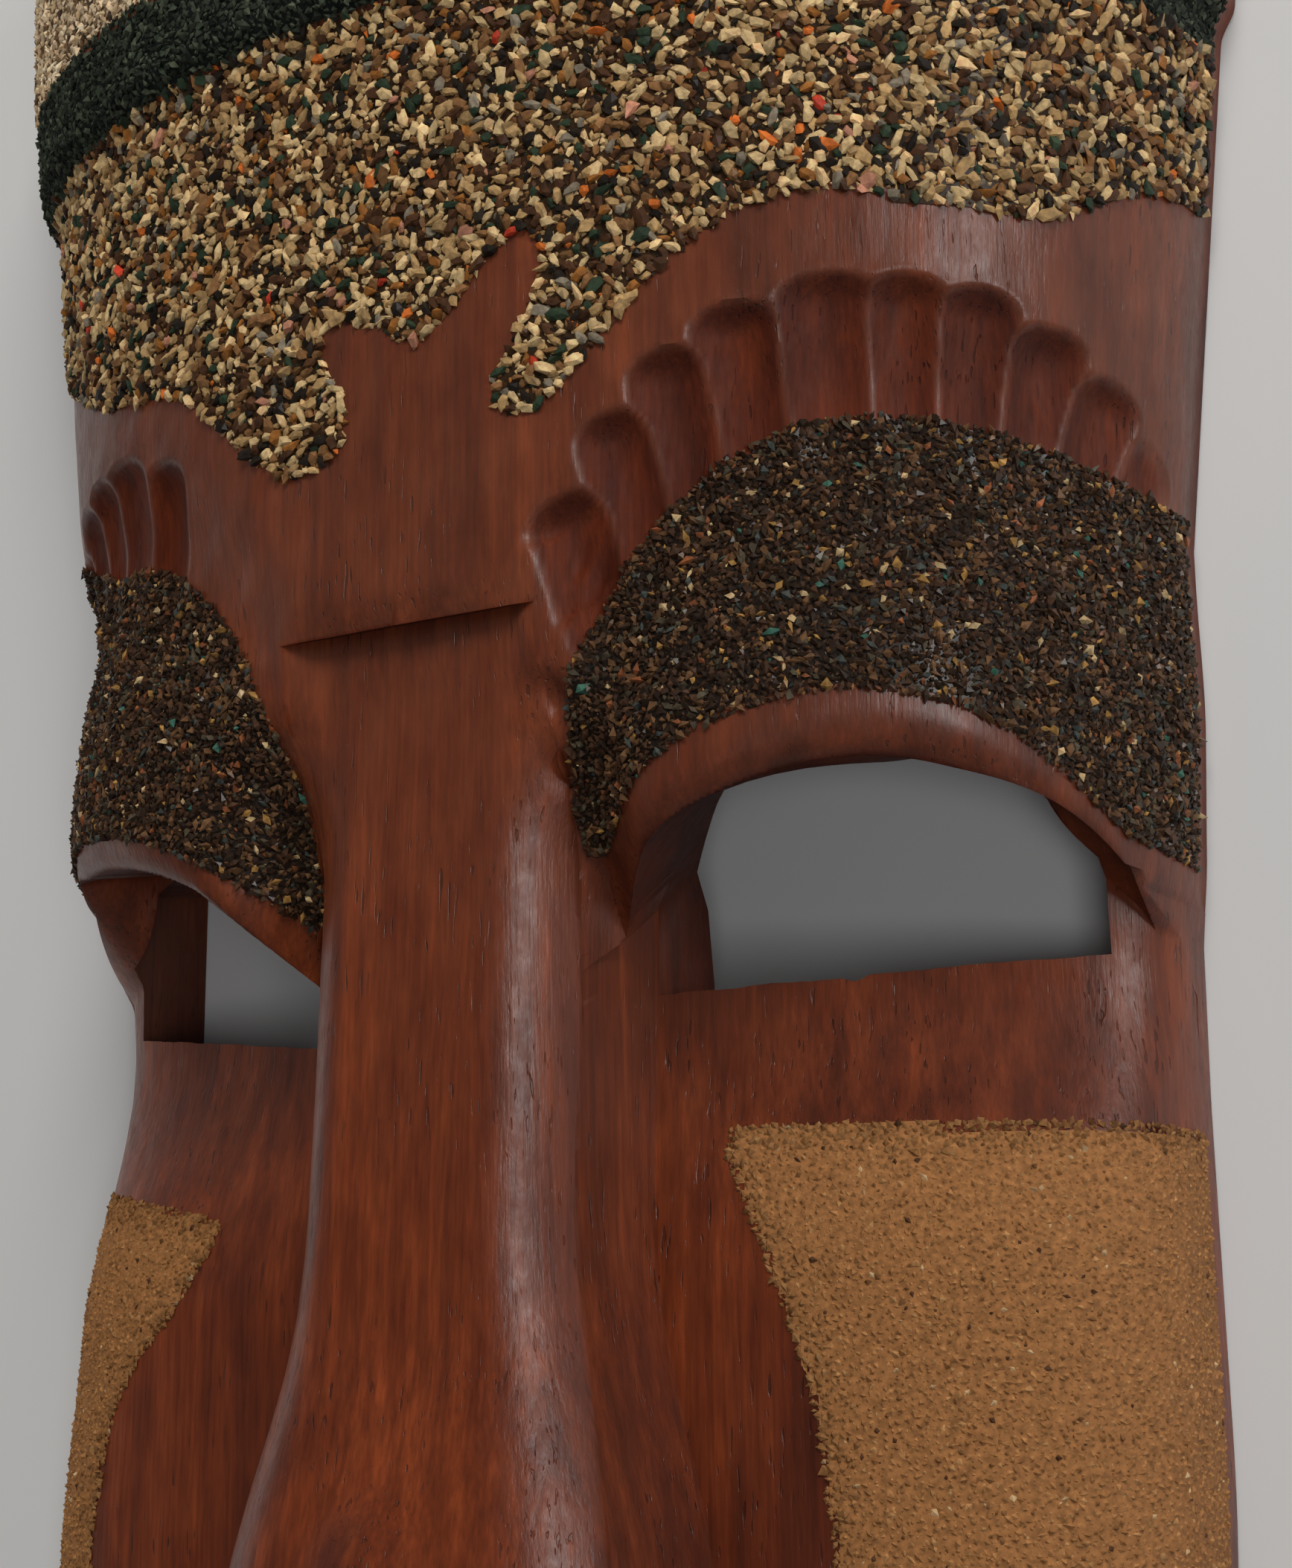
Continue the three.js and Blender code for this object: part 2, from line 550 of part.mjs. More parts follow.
// Space of the hollow back
function hollow() {
  const low = CHIN_Y + RIM_WIDTH + HOLLOW_END;
  const high = CROWN_Y - RIM_WIDTH - HOLLOW_END;
  const middle = (low + high) / 2;
  const rows = steps(-Math.PI / 2, Math.PI / 2, 10).map((t) => middle + ((high - low) / 2) * Math.sin(t));
  const width = (y) => {
    const end = roundOff(Math.abs(y - middle) / ((high - low) / 2), HOLLOW_PLAN_POWER);
    return Math.max(3, Math.min(halfWidth(y) - RIM_WIDTH, halfWidth(middle) * end));
  };
  const depth = (y) => mix(HOLLOW_FACE, HOLLOW_FOREHEAD, smooth(HOLLOW_STEP.low, HOLLOW_STEP.high, y));
  const grid = rows.map((y) => steps(-Math.PI / 2, Math.PI / 2, 9).map((t) => {
    const across = Math.sin(t);
    const end = roundOff(Math.abs(y - middle) / ((high - low) / 2), HOLLOW_POWER);
    const rise = depth(y) * roundOff(Math.abs(across), HOLLOW_POWER) * end;
    return new THREE.Vector3(width(y) * across, y, rise);
  }));
  return between(grid, flat(grid, -TOOL_BELOW));
}

const pair = (form, around, down) => [1, -1].map((side) => ellipsoid(form, side, around, down));
const noseEnd = () => [ellipsoid(NOSE_TIP, 1, 12, 7), ...pair(NOSE_WING, 10, 7)];
const nostrils = () => pair(NOSTRIL, 8, 5);
const lipsAndChin = () => [UPPER_LIP, LOWER_LIP, CHIN].map((form) => ellipsoid(form, 1, 14, 6));

function body() {
  const front = sheet(DOME_ROWS, domeColumns, upperHeight);
  let wood = standing(front).subtract(lowerFaceSpace());
  for (const form of [...noseEnd(), ...lipsAndChin()]) wood = wood.add(form);
  for (const form of [...nostrils(), ...gougeRow(1), ...gougeRow(-1)]) wood = wood.subtract(form);
  wood = wood.subtract(hollow());
  return wood.subtract(eyeHole(1)).subtract(eyeHole(-1));
}

// A glued layer: the part of a thin shell over the wood that lies inside a plan outline
function layer(rows, columnsAt, height, thickness, outline) {
  const outer = sheet(rows, columnsAt, height, GLUE_GAP + thickness);
  const inner = sheet(rows, columnsAt, height, GLUE_GAP);
  return between(outer, inner).intersect(prism(outline));
}

const rowsWithin = (rows, x, low, high) => rows.filter((row) => row(x) >= low && row(x) <= high);
const curve = (points, count) => new THREE.SplineCurve(points.map(([x, y]) => new THREE.Vector2(x, y)))
  .getPoints(count);

// Lower edge of the forehead grit, left to right, with its two drips
const FOREHEAD_EDGE = [
  [-85, 92], [-68, 85], [-55, 75], [-44, 69], [-33, 66.6], [-26, 62.6], [-20, 56.5], [-13, 52], [-7, 53.4],
  [-6, 58], [-9, 64], [-8, 67.4], [-3, 66], [2, 63.2], [6, 66], [10.5, 71], [14.2, 73], [16, 70],
  [13.5, 62.5], [10.6, 57], [12.5, 54], [16, 54.6], [19.5, 58], [26, 65.6], [31, 70], [36.5, 73.2],
  [43, 74.2], [52, 73], [60, 73], [66, 78], [85, 92],
];

// Line across the forehead at a distance above the band's lower edge, left to right
const BAND_LINE_X = [-REACH, ...steps(BAND_DIP.from, BAND_DIP.to, 2), REACH];
const bandLine = (rise) => BAND_LINE_X.map((x) => new THREE.Vector2(x, bandLow(x) + rise));

const foreheadOutline = () => [...curve(FOREHEAD_EDGE, 44), ...bandLine(0).reverse()];
const strip = (from, to) => [...bandLine(from), ...bandLine(to).reverse()];
const crownOutline = () => [
  ...bandLine(BAND_WIDTH + 0.2),
  new THREE.Vector2(REACH, CROWN_SAND_Y),
  new THREE.Vector2(-REACH, CROWN_SAND_Y),
];

// Crescent of dark grit on one eyelid: an ellipse above, the hood's edge at a rim's width below
function lidOutline(side) {
  const left = side < 0;
  const lid = left ? 'left' : 'right';
  const ring = left ? LEFT_GRIT_OUTER : GRIT_OUTER;
  const outer = steps(0.2, Math.PI - 0.12, 16).map((t) => {
    const outwards = Math.cos(t) * (Math.cos(t) < 0 ? ring.inner : ring.outer);
    const risen = left && outwards > 0 ? ring.up + LEFT_GRIT_SLOPE * outwards : ring.up * Math.sin(t);
    return new THREE.Vector2(Math.max(GRIT_INNER_END, EYE_CENTRE.x + outwards), EYE_CENTRE.y + risen);
  });
  const lower = steps(GRIT_INNER_END + 1, GRIT_RIM_NARROWING.to, 11).map((a) => {
    const narrower = GRIT_RIM_NARROWING[lid] * smooth(GRIT_RIM_NARROWING.from, GRIT_RIM_NARROWING.to, a);
    const y = hoodCurve(a * side) + GRIT_RIM_WIDTH[lid] - narrower;
    return new THREE.Vector2(a, Math.max(GRIT_LOW_Y[lid], y));
  });
  const outline = [...outer, ...lower, new THREE.Vector2(REACH, lower[lower.length - 1].y)];
  return outline.map((p) => new THREE.Vector2(p.x * side, p.y));
}

// Inner edge of the tan sand on each cheek, from its top down
const SAND_EDGE = {
  right: [[23.4, -12.8], [23.4, -16], [26.4, -22.6], [29, -29.7], [31.5, -37.3], [32.6, -45], [33.4, -53],
    [33, -66], [30, -84], [31, -98]],
  left: [[-35.6, -18], [-37.7, -22.5], [-41.7, -28], [-45.8, -32], [-49, -37], [-50.3, -43.6], [-51, -52.3],
    [-49, -66], [-44, -84], [-42, -98]],
};
const SAND_LOW_Y = -98;
const SAND_HIGH_Y = { right: -14, left: -5.7 };

function sandOutline(side) {
  const cheek = side < 0 ? 'left' : 'right';
  const outer = [SAND_LOW_Y, SAND_HIGH_Y[cheek]].map((y) => new THREE.Vector2(REACH * side, y));
  return [...curve(SAND_EDGE[cheek], 11), ...outer];
}

function build() {
  const group = new THREE.Group();
  const put = (manifold, name, material) => group.add(meshOf(manifold, name, material));
  put(body(), 'mask_body', WOOD);

  const overDome = (outline, x, low, high, thickness) => {
    return layer(rowsWithin(DOME_ROWS, x, low, high), domeColumns, upperHeight, thickness, outline);
  };
  put(overDome(foreheadOutline(), 16.2, 45, 108, COARSE_THICKNESS), 'forehead_grit', PALE_GRIT);
  put(overDome(strip(0.35, BAND_WIDTH - 0.2), 0, 94, 125, COARSE_THICKNESS), 'forehead_band', GREEN_GRIT);
  put(overDome(crownOutline(), 0, 104, 165, SAND_THICKNESS), 'crown_sand', CROWN_TAN);

  put(overDome(lidOutline(1), 30, 10, 57, DARK_THICKNESS), 'eyelid_grit_right', DARK_GRIT);
  put(overDome(lidOutline(-1), 30, 10, 66, DARK_THICKNESS), 'eyelid_grit_left', DARK_GRIT);

  const cheekRows = rowsWithin(FACE_LOW_ROWS.map((y) => () => y), 0, -115, -4);
  const overCheek = (outline) => layer(cheekRows, faceColumns, faceHeight, SAND_THICKNESS, outline);
  put(overCheek(sandOutline(1)), 'cheek_sand_right', TAN_SAND);
  put(overCheek(sandOutline(-1)), 'cheek_sand_left', TAN_SAND);
  return group;
}

export default build();
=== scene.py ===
import math
import bpy
import numpy as np
from mathutils import Matrix, Vector


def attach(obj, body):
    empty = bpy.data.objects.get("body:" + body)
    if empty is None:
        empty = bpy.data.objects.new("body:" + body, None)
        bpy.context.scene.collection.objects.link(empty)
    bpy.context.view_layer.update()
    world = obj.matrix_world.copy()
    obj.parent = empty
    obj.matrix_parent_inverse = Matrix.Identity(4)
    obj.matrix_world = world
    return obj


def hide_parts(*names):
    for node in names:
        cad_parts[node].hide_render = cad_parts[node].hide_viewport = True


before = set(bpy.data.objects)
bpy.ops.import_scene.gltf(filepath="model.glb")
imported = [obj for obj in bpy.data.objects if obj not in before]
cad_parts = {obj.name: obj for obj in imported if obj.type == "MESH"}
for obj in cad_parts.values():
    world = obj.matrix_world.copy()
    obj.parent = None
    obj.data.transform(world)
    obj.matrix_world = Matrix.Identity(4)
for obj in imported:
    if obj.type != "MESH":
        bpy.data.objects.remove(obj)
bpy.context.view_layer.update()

# Lengths are in millimetres until a mesh is made. x runs to the right of the picture, y to the crown
# from the lower edge of the eyes, z out of the face.
MM = 0.001
CENTRE_Y = 18.0

# Shape of the carving: outline, forehead, green band and cheeks

CROWN_Y, CHIN_Y = 171.0, -135.0
CHEEK_HALF_WIDTH, LID_HALF_WIDTH, CHEEK_TOP_Y, BROW_Y = 62.0, 64.0, -5.0, 45.0
FOREHEAD_FLARE, CROWN_SIDE_STEP = 0.12, 1.3
CROWN_ROUND_Y, CHIN_ROUND_Y, END_HALF_WIDTH = 130.0, -40.0, 5.0
CROWN_POWER, CHIN_POWER, CHEEK_END_POWER = 2.4, 2.2, 2.4
LEFT_CHEEK_SWELL, SWELL_SPAN = 4.0, (6.0, 70.0)
RIM_HEIGHT, DOME_DEPTH, DOME_POWER = 3.0, 46.0, 2.04
CROWN_FALL_Y, CROWN_FALL_POWER = 112.0, 2.2
# Step up to the crown above the band; it fades out where the dome is lower than STEP_THIN
CROWN_STEP, STEP_FROM, STEP_TO, STEP_THIN = 2.4, -1.5, 2.5, 12.0
BAND_LOW_Y, BAND_WIDTH = 101.5, 11.5
BAND_DIP, BAND_DIP_SPAN = 4.5, (42.0, 66.0)
BROW_OVERHANG_Y = 34.5
CHEEK_DEPTH, CHEEK_POWER, FACE_EDGE = 25.0, 3.2, 2.4
CHEEK_BLEND = (-3.0, 28.0)
RECESS_INNER_HEIGHT, RECESS_SLOPE, RECESS_EDGE_POWER, RECESS_EDGE_ROUND = 26.0, 0.317, 12, 0.4

# Nose: its side walls start SIDE_GAP inside NOSE_HALF and lean out to NOSE_BASE_HALF
NOSE_HALF, NOSE_BASE_HALF, NOSE_FLAT_HALF = 14.5, 16.2, 6.0
NOSE_ROOT_HEIGHT, NOSE_CORNER_DROP, NOSE_CORNER_POWER, NOSE_END_Y = 45.0, 7.5, 2.2, -62.0
NOSE_RIDGE_RISE, NOSE_END_RISE, END_RISE = 3.5, 4.0, (30.0, 62.0)
NOSE_SPREAD, NOSE_SPREAD_Y, SPREAD_GONE, NOSE_UNDER = 0.4, -20.0, 18.0, 5.0
SIDE_GAP = 0.1
ROOT_RISE_CORNER, ROOT_RISE_MIDDLE = 1.8, 0.5
NOSE_BLOCK_TOP = 57.0
VALLEY_LOW, VALLEY_RISE, VALLEY_OUTER, VALLEY_STEP = 29.0, 0.72, 27.0, 0.6

# Hoods over the eyes, their lip and the brow ledge between them
HOOD_POWER, HOOD_TIP_SLOPE = 1.6, 0.27
# Top of each arch (x, y), its reach inwards and outwards, and its outer end (y, x)
RIGHT_HOOD = (43.0, 18.4, 28.6, 18.2, 5.0, 60.4)
LEFT_HOOD = (50.0, 18.4, 35.6, 22.0, 10.0, 63.0)
LEFT_HOOD_SAG, SAG_SPAN = 4.0, (15.0, 28.0)
HOOD_ROLL, HOOD_ROLL_WIDTH, LIP_RADIUS = 2.0, 4.5, 1.1
HOOD_SLANT, INNER_SLANT = 0.22, 0.4
BROW_ROLL, BROW_ROLL_WIDTH, BROW_SLANT, BROW_BLEND = 1.3, 4.5, 0.3, 1.5
# Where a hood's outer end runs down into the side: start below its edge, slope and place
WEB_START_LEFT, WEB_START_RIGHT, WEB_SLOPE, WEB_SPAN = 7.5, 3.5, 1.15, (49.0, 59.0)

# Lids: a bulge round each eye, and the ring that bounds the grit on it
LID_DROP, LID_BULGE, LID_SIDE_BULGE, LID_THIN = 2.2, 3.0, 0.6, 10.0
LID_CORE, LID_FOOT = 0.3, 1.3
LID_TOP_Y, ABOVE_EDGE, ABOVE_RIM, WAVE_FROM = 72.0, 3.0, 5.0, 1.2
EYE_X, EYE_Y = 45.0, 9.0
RIGHT_RING = dict(inner=30.9, outer=40.0, up=43.6, slope=0.0, rim=6.0, narrowing=2.5, low=12.0)
LEFT_RING = dict(inner=31.7, outer=40.0, up=41.5, slope=0.5, rim=3.2, narrowing=0.0, low=8.0)
GRIT_INNER_END = 14.6

# Fan of gouge cuts: place of each cut's top end, half its width and its depth
GOUGES = [
    (17.9, 45.3, 4.6, 2.4), (22.5, 53.0, 4.4, 2.3), (27.7, 58.8, 4.5, 2.3), (33.7, 63.0, 4.4, 2.3),
    (42.1, 65.8, 5.2, 2.2), (48.6, 65.8, 4.3, 2.4), (54.3, 64.9, 4.4, 2.2), (59.3, 61.8, 4.6, 2.3),
    (62.6, 57.8, 4.6, 2.1), (64.0, 52.4, 4.0, 0.7),
]
# A cut is round over GOUGE_NOSE at its top end, gets shallower and runs out
GOUGE_NOSE, GOUGE_SHOULDER, GOUGE_LENGTH = 3.2, 2.3, 17.0
GOUGE_EASE, GOUGE_EASE_OVER, GOUGE_OUT = 0.35, 13.0, (18.0, 24.0)
GOUGE_REACH, GOUGE_SIDES, GOUGE_BLEND, GOUGE_SOFT = 30.0, 1.6, 0.12, 0.006
GOUGE_FOCUS, LEFT_GOUGE_DROP, LEFT_GOUGES_SKIPPED, LEFT_GOUGE_SHARE = (41.0, -40.0), 3.4, 3, 0.7
BURR_AT, BURR_END, BURR_HEIGHT, BURR_WIDTH, BURR_ABOVE = 1.08, 16.0, 0.14, 0.3, 0.12
SLOPE_STEP = 0.5

# Eye holes with a slightly nicked sill, and the hollow back
EYE_INNER, EYE_OUTER, EYE_POINTS = 16.4, 57.0, 60
RIGHT_SILL, LEFT_SILL = (0.4, 2.8), (-2.3, 4.4)
NICK_SIZE, NOTCH_DEPTH, NOTCH_X, NOTCH_WIDTH = 0.12, 0.55, 34.5, 0.8
EYE_TOOL_LOW, EYE_TOOL_OVER, EYE_TOOL_INSET = -6.0, 2.0, 1.5
RIM_WIDTH, RIM_ENDS, HOLLOW_FOREHEAD, HOLLOW_FACE, HOLLOW_POWER = 10.0, 4.0, 33.0, 14.5, 2.6
HOLLOW_STEP, HOLLOW_END_POWER, HOLLOW_LEAST, HOLLOW_TOOL_LOW = (6.0, 38.0), 3, 3.0, -8.0
TOOL_TOP, TOOL_SIDE, TOOL_END = 90.0, 12.0, 10.0

# Half ellipsoids on the face: centre, half sizes across, along and out, and fillet
ROUND_FORMS = [
    (0.0, -56.0, 38.0, 11.5, 13.0, 16.0, 2.5),  # tip of the nose
    (13.4, -57.0, 19.0, 9.0, 14.0, 24.5, 3.5),  # its wings
    (0.0, -88.0, 23.5, 25.0, 5.6, 9.0, 1.2),  # upper lip
    (0.0, -97.5, 22.5, 21.0, 6.4, 9.5, 1.2),  # lower lip
    (0.0, -120.0, 13.5, 17.0, 11.0, 11.5, 3.0),  # chin
]
FORM_REACH, FAR_BELOW = 6.0, 60.0


def mix(a, b, t):
    return a + (b - a) * t


def smooth(low, high, v):
    t = np.clip((v - low) / (high - low), 0.0, 1.0)
    return t * t * (3.0 - 2.0 * t)


def round_off(t, power):
    """From 1 at t = 0 down to 0 at t = 1, along a quarter of a superellipse."""
    return np.maximum(0.0, 1.0 - np.clip(t, 0.0, 1.0) ** power) ** (1.0 / power)


def half_width(y):
    middle = mix(CHEEK_HALF_WIDTH, LID_HALF_WIDTH, smooth(CHEEK_TOP_Y, BROW_Y, y))
    lid = LID_SIDE_BULGE * smooth(2, 14, y) * (1 - smooth(26, 42, y))
    step = CROWN_SIDE_STEP * smooth(BAND_LOW_Y + STEP_FROM, BAND_LOW_Y + STEP_TO, y)
    flare = FOREHEAD_FLARE * np.maximum(0.0, np.minimum(y, CROWN_ROUND_Y) - BROW_Y)
    crown = round_off((y - CROWN_ROUND_Y) / (CROWN_Y - CROWN_ROUND_Y), CROWN_POWER)
    chin = round_off((CHIN_ROUND_Y - y) / (CHIN_ROUND_Y - CHIN_Y), CHIN_POWER)
    return np.maximum(END_HALF_WIDTH, (middle + lid + step + flare) * crown * chin)


def band_low(x):
    """Lower edge of the green band across the forehead."""
    return BAND_LOW_Y - BAND_DIP * smooth(*BAND_DIP_SPAN, x)


def hood_curve(x):
    x = np.asarray(x, float)
    a = np.abs(x)

    def arch(top_x, top_y, inner, outer, end_y, end_x):
        near = top_y * round_off((top_x - a) / inner, HOOD_POWER)
        reach = np.minimum(a, end_x) - top_x
        far = end_y + (top_y - end_y) * round_off(reach / outer, 2)
        far = far - HOOD_TIP_SLOPE * np.maximum(0.0, a - end_x)
        return np.where(a < top_x, near, far)

    return np.where(x < 0, arch(*LEFT_HOOD), arch(*RIGHT_HOOD))


def hood_edge(x):
    """Lower edge of the hood; the left one sags where it meets the nose."""
    x = np.asarray(x, float)
    return hood_curve(x) - np.where(x < 0, LEFT_HOOD_SAG * (1 - smooth(*SAG_SPAN, -x)), 0.0)


def upper_edge(x):
    return np.where(np.abs(x) < NOSE_HALF - SIDE_GAP, BROW_OVERHANG_Y, hood_edge(x))


def nose_height(a, y):
    """Front of the nose at a distance from the middle."""
    top = NOSE_ROOT_HEIGHT + NOSE_RIDGE_RISE
    ridge = mix(NOSE_ROOT_HEIGHT, top, smooth(-BROW_OVERHANG_Y, -NOSE_END_Y, -y))
    forward = ridge + NOSE_END_RISE * smooth(*END_RISE, -y)
    corner = np.clip((a - NOSE_FLAT_HALF) / (NOSE_HALF - NOSE_FLAT_HALF), 0.0, 1.0)
    beside = smooth(10, NOSE_HALF, a)
    root = mix(ROOT_RISE_MIDDLE * smooth(27, 35, y), ROOT_RISE_CORNER * smooth(22, 35, y), beside)
    return forward + root - NOSE_CORNER_DROP * (1 - smooth(10, 30, y)) * corner ** NOSE_CORNER_POWER


def upper_height(x, y):
    """Height of crown, forehead and lids, and of the block that the lower face is cut from."""
    x, y = np.broadcast_arrays(np.asarray(x, float), np.asarray(y, float))
    a = np.abs(x)
    width = half_width(y)
    fall = round_off((y - CROWN_FALL_Y) / (CROWN_Y - CROWN_FALL_Y), CROWN_FALL_POWER)
    dome = DOME_DEPTH * round_off(a / width, DOME_POWER)
    cap = CROWN_STEP * smooth(STEP_FROM, STEP_TO, y - band_low(x))
    z = RIM_HEIGHT + dome * fall + cap * np.minimum(1.0, dome / STEP_THIN) * fall
    edge = hood_edge(x)
    reach = np.where(a < EYE_X, RIGHT_RING["inner"], RIGHT_RING["outer"])
    from_eye = np.hypot((a - EYE_X) / reach, (y - EYE_Y) / RIGHT_RING["up"])
    lid = LID_BULGE * (1 - smooth(LID_CORE, 1, from_eye))
    lid = lid - LID_DROP * (1 - smooth(1, LID_FOOT, from_eye))
    low = z + lid * np.minimum(1.0, dome / LID_THIN)
    above = np.clip((y - edge) / HOOD_ROLL_WIDTH, 0.0, 1.0)
    lip = np.clip((y - edge) / LIP_RADIUS, 0.0, 1.0)
    quarter = 1 - np.sqrt(np.maximum(0.0, 1 - (1 - lip) ** 2))
    low = low - np.where(a > NOSE_HALF, HOOD_ROLL * (1 - above) ** 2 + LIP_RADIUS * quarter, 0.0)
    brow = np.clip((y - BROW_OVERHANG_Y) / BROW_ROLL_WIDTH, 0.0, 1.0)
    low = low - BROW_ROLL * (1 - brow) ** 2 * (1 - smooth(8, NOSE_HALF, a))
    corner = nose_height(NOSE_HALF, y)
    valley = np.minimum(VALLEY_LOW + VALLEY_RISE * np.maximum(0.0, y), corner - VALLEY_STEP)
    wall = mix(corner, valley, (a - NOSE_HALF) / (NOSE_BASE_HALF - NOSE_HALF))
    bank = mix(valley, low, smooth(NOSE_BASE_HALF, VALLEY_OUTER, a))
    away = smooth(NOSE_HALF, 20, a)
    step = smooth(BROW_OVERHANG_Y - BROW_BLEND, BROW_OVERHANG_Y + BROW_BLEND, y)
    over = mix(step, smooth(24, 36, y), away)
    flank = mix(np.where(a < NOSE_BASE_HALF, wall, bank), low, over)
    low = np.where((a < VALLEY_OUTER) & (a >= NOSE_HALF - SIDE_GAP), flank, low)
    under_brow = (a < NOSE_HALF - SIDE_GAP) & (y < BROW_OVERHANG_Y - 4)
    low = np.where(under_brow | ((a < VALLEY_OUTER) & (y < NOSE_SPREAD_Y)), NOSE_BLOCK_TOP, low)
    return np.where(y > BROW_OVERHANG_Y + 45, z, low)


def nose_spread(y):
    """How many times wider the nose is at a height than at its root."""
    wider = smooth(-NOSE_SPREAD_Y, -NOSE_END_Y, -y)
    return 1 + NOSE_SPREAD * (wider - smooth(-NOSE_END_Y, -NOSE_END_Y + SPREAD_GONE, -y))


def soft_max(a, b, k):
    """The larger of two heights, with a fillet of size k where they meet."""
    h = np.clip(0.5 + 0.5 * (a - b) / k, 0.0, 1.0)
    return mix(b, a, h) + k * h * (1 - h)


def cheek_height(a, y):
    """Cheek, which rises from the recess round the eyes."""
    across = np.clip(a / half_width(y), 0.0, 1.0)
    fall = round_off((CHIN_ROUND_Y - y) / (CHIN_ROUND_Y - CHIN_Y), CHEEK_END_POWER)
    bulge = FACE_EDGE + CHEEK_DEPTH * round_off(across, CHEEK_POWER) * fall
    plane = RECESS_INNER_HEIGHT - RECESS_SLOPE * (a - NOSE_BASE_HALF)
    edge = np.maximum(0.0, 1 - across ** RECESS_EDGE_POWER) ** RECESS_EDGE_ROUND
    recess = FACE_EDGE + (plane - FACE_EDGE) * edge
    return mix(recess, bulge, smooth(*CHEEK_BLEND, -y))


def hood_web(x, y):
    """Rise of the recess where the outer end of a hood runs down into the side of the mask."""
    start = hood_edge(x) - np.where(x < 0, WEB_START_LEFT, WEB_START_RIGHT)
    return WEB_SLOPE * np.maximum(0.0, y - start) * smooth(*WEB_SPAN, np.abs(x))


def face_height(x, y):
    """Height of the lower face: eye recess, cheeks, nose, lips and chin."""
    x, y = np.broadcast_arrays(np.asarray(x, float), np.asarray(y, float))
    a = np.abs(x)
    half = NOSE_HALF * nose_spread(y)
    base = NOSE_BASE_HALF * nose_spread(y)
    cheek = cheek_height(a, y)
    cheek = cheek + np.where(y > 0, hood_web(x, y), 0.0)
    under = smooth(-NOSE_END_Y, -NOSE_END_Y + NOSE_UNDER, -y)
    front = nose_height(a * NOSE_HALF / half, y)
    side = mix(nose_height(NOSE_HALF, y), cheek, (a - half) / (base - half))
    nose = np.where(a <= half, front, side)
    z = np.where(a >= base, cheek, mix(nose, cheek, under))
    for cx, cy, cz, wide, high, deep, fillet in ROUND_FORMS:
        room = 1 - ((a - cx) / wide) ** 2 - ((y - cy) / high) ** 2
        form = cz + deep * np.sqrt(np.maximum(0.0, room)) - np.where(room < 0, FAR_BELOW, 0.0)
        z = np.where(y < cy + high + FORM_REACH, soft_max(z, form, fillet), z)
    return z


def ceiling(x, z):
    """Underside of the brow and the hoods, as a height in the picture at each depth."""
    a = np.abs(x)
    edge = hood_edge(x)
    slant = HOOD_SLANT + INNER_SLANT * (1 - smooth(18, 40, a))
    hood = edge + (upper_height(x, edge + LIP_RADIUS) - z) * slant
    brow = BROW_OVERHANG_Y + BROW_SLANT * (NOSE_ROOT_HEIGHT + NOSE_RIDGE_RISE - z)
    return np.where(a < NOSE_HALF + SIDE_GAP / 2, brow, hood)


# Meshes from grids. The middle columns are squeezed where half the width is less than this.
SQUEEZE_WIDTH = 58.0


def mirrored(half):
    return np.concatenate([-half[:0:-1], half])


def columns(y, inner, outer_count, spread):
    """Places of a row's points: fixed in the middle, the rest out to the edge."""
    width = half_width(y)
    squeeze = min(1.0, width / SQUEEZE_WIDTH)
    last = inner[-1]
    fixed = mix(inner, inner * spread, 1 - smooth(NOSE_BASE_HALF, last, inner)) * squeeze
    start = last * squeeze
    turn = np.linspace(0, math.pi / 2, outer_count + 1)[1:]
    return mirrored(np.concatenate([fixed, start + (width - start) * np.sin(turn)]))


def placed(name, data):
    obj = bpy.data.objects.new(name, data)
    bpy.context.collection.objects.link(obj)
    return obj


def mesh_object(name, vertices, faces):
    mesh = bpy.data.meshes.new(name)
    mesh.from_pydata((vertices * MM).tolist(), [], faces)
    mesh.validate()
    mesh.update()
    return placed(name, mesh)


def corners(grid):
    """The four corners of each cell of a grid, in turn."""
    return grid[:-1, :-1], grid[:-1, 1:], grid[1:, 1:], grid[1:, :-1]


def between(upper, lower):
    """Closed solid between two grids of the same size."""
    rows, cols = upper.shape[:2]
    v = np.concatenate([upper.reshape(-1, 3), lower.reshape(-1, 3)])
    top = np.arange(rows * cols).reshape(rows, cols)
    low = top + rows * cols
    quads = [
        np.stack(corners(top), -1).reshape(-1, 4),
        np.stack(corners(low), -1).reshape(-1, 4)[:, [0, 3, 2, 1]],
        np.stack([top[:-1, 0], top[1:, 0], low[1:, 0], low[:-1, 0]], -1),
        np.stack([top[1:, -1], top[:-1, -1], low[:-1, -1], low[1:, -1]], -1),
        np.stack([top[0, 1:], top[0, :-1], low[0, :-1], low[0, 1:]], -1),
        np.stack([top[-1, :-1], top[-1, 1:], low[-1, 1:], low[-1, :-1]], -1),
    ]
    return v, np.concatenate(quads).tolist()


def standing(grid):
    """Closed block under a grid, down to the plane z = 0; its underside is one face."""
    rows, cols = grid.shape[:2]
    at = np.arange(rows * cols).reshape(rows, cols)
    top = np.stack(corners(at), -1).reshape(-1, 4)
    border = np.concatenate([at[0, :-1], at[:-1, -1], at[-1, :0:-1], at[:0:-1, 0]])
    low = rows * cols + np.arange(len(border))
    wall = np.stack([border, low, np.roll(low, -1), np.roll(border, -1)], -1)
    v = grid.reshape(-1, 3)
    faces = [*top.tolist(), *wall.tolist(), low[::-1].tolist()]
    return np.concatenate([v, v[border] * [1, 1, 0]]), faces


def grid_normals(grid):
    du = np.gradient(grid, axis=1)
    dv = np.gradient(grid, axis=0)
    n = np.cross(du, dv)
    return n / np.maximum(1e-9, np.linalg.norm(n, axis=-1, keepdims=True))


def flat(grid, z):
    out = grid.copy()
    out[..., 2] = z
    return out


WAVES = 7


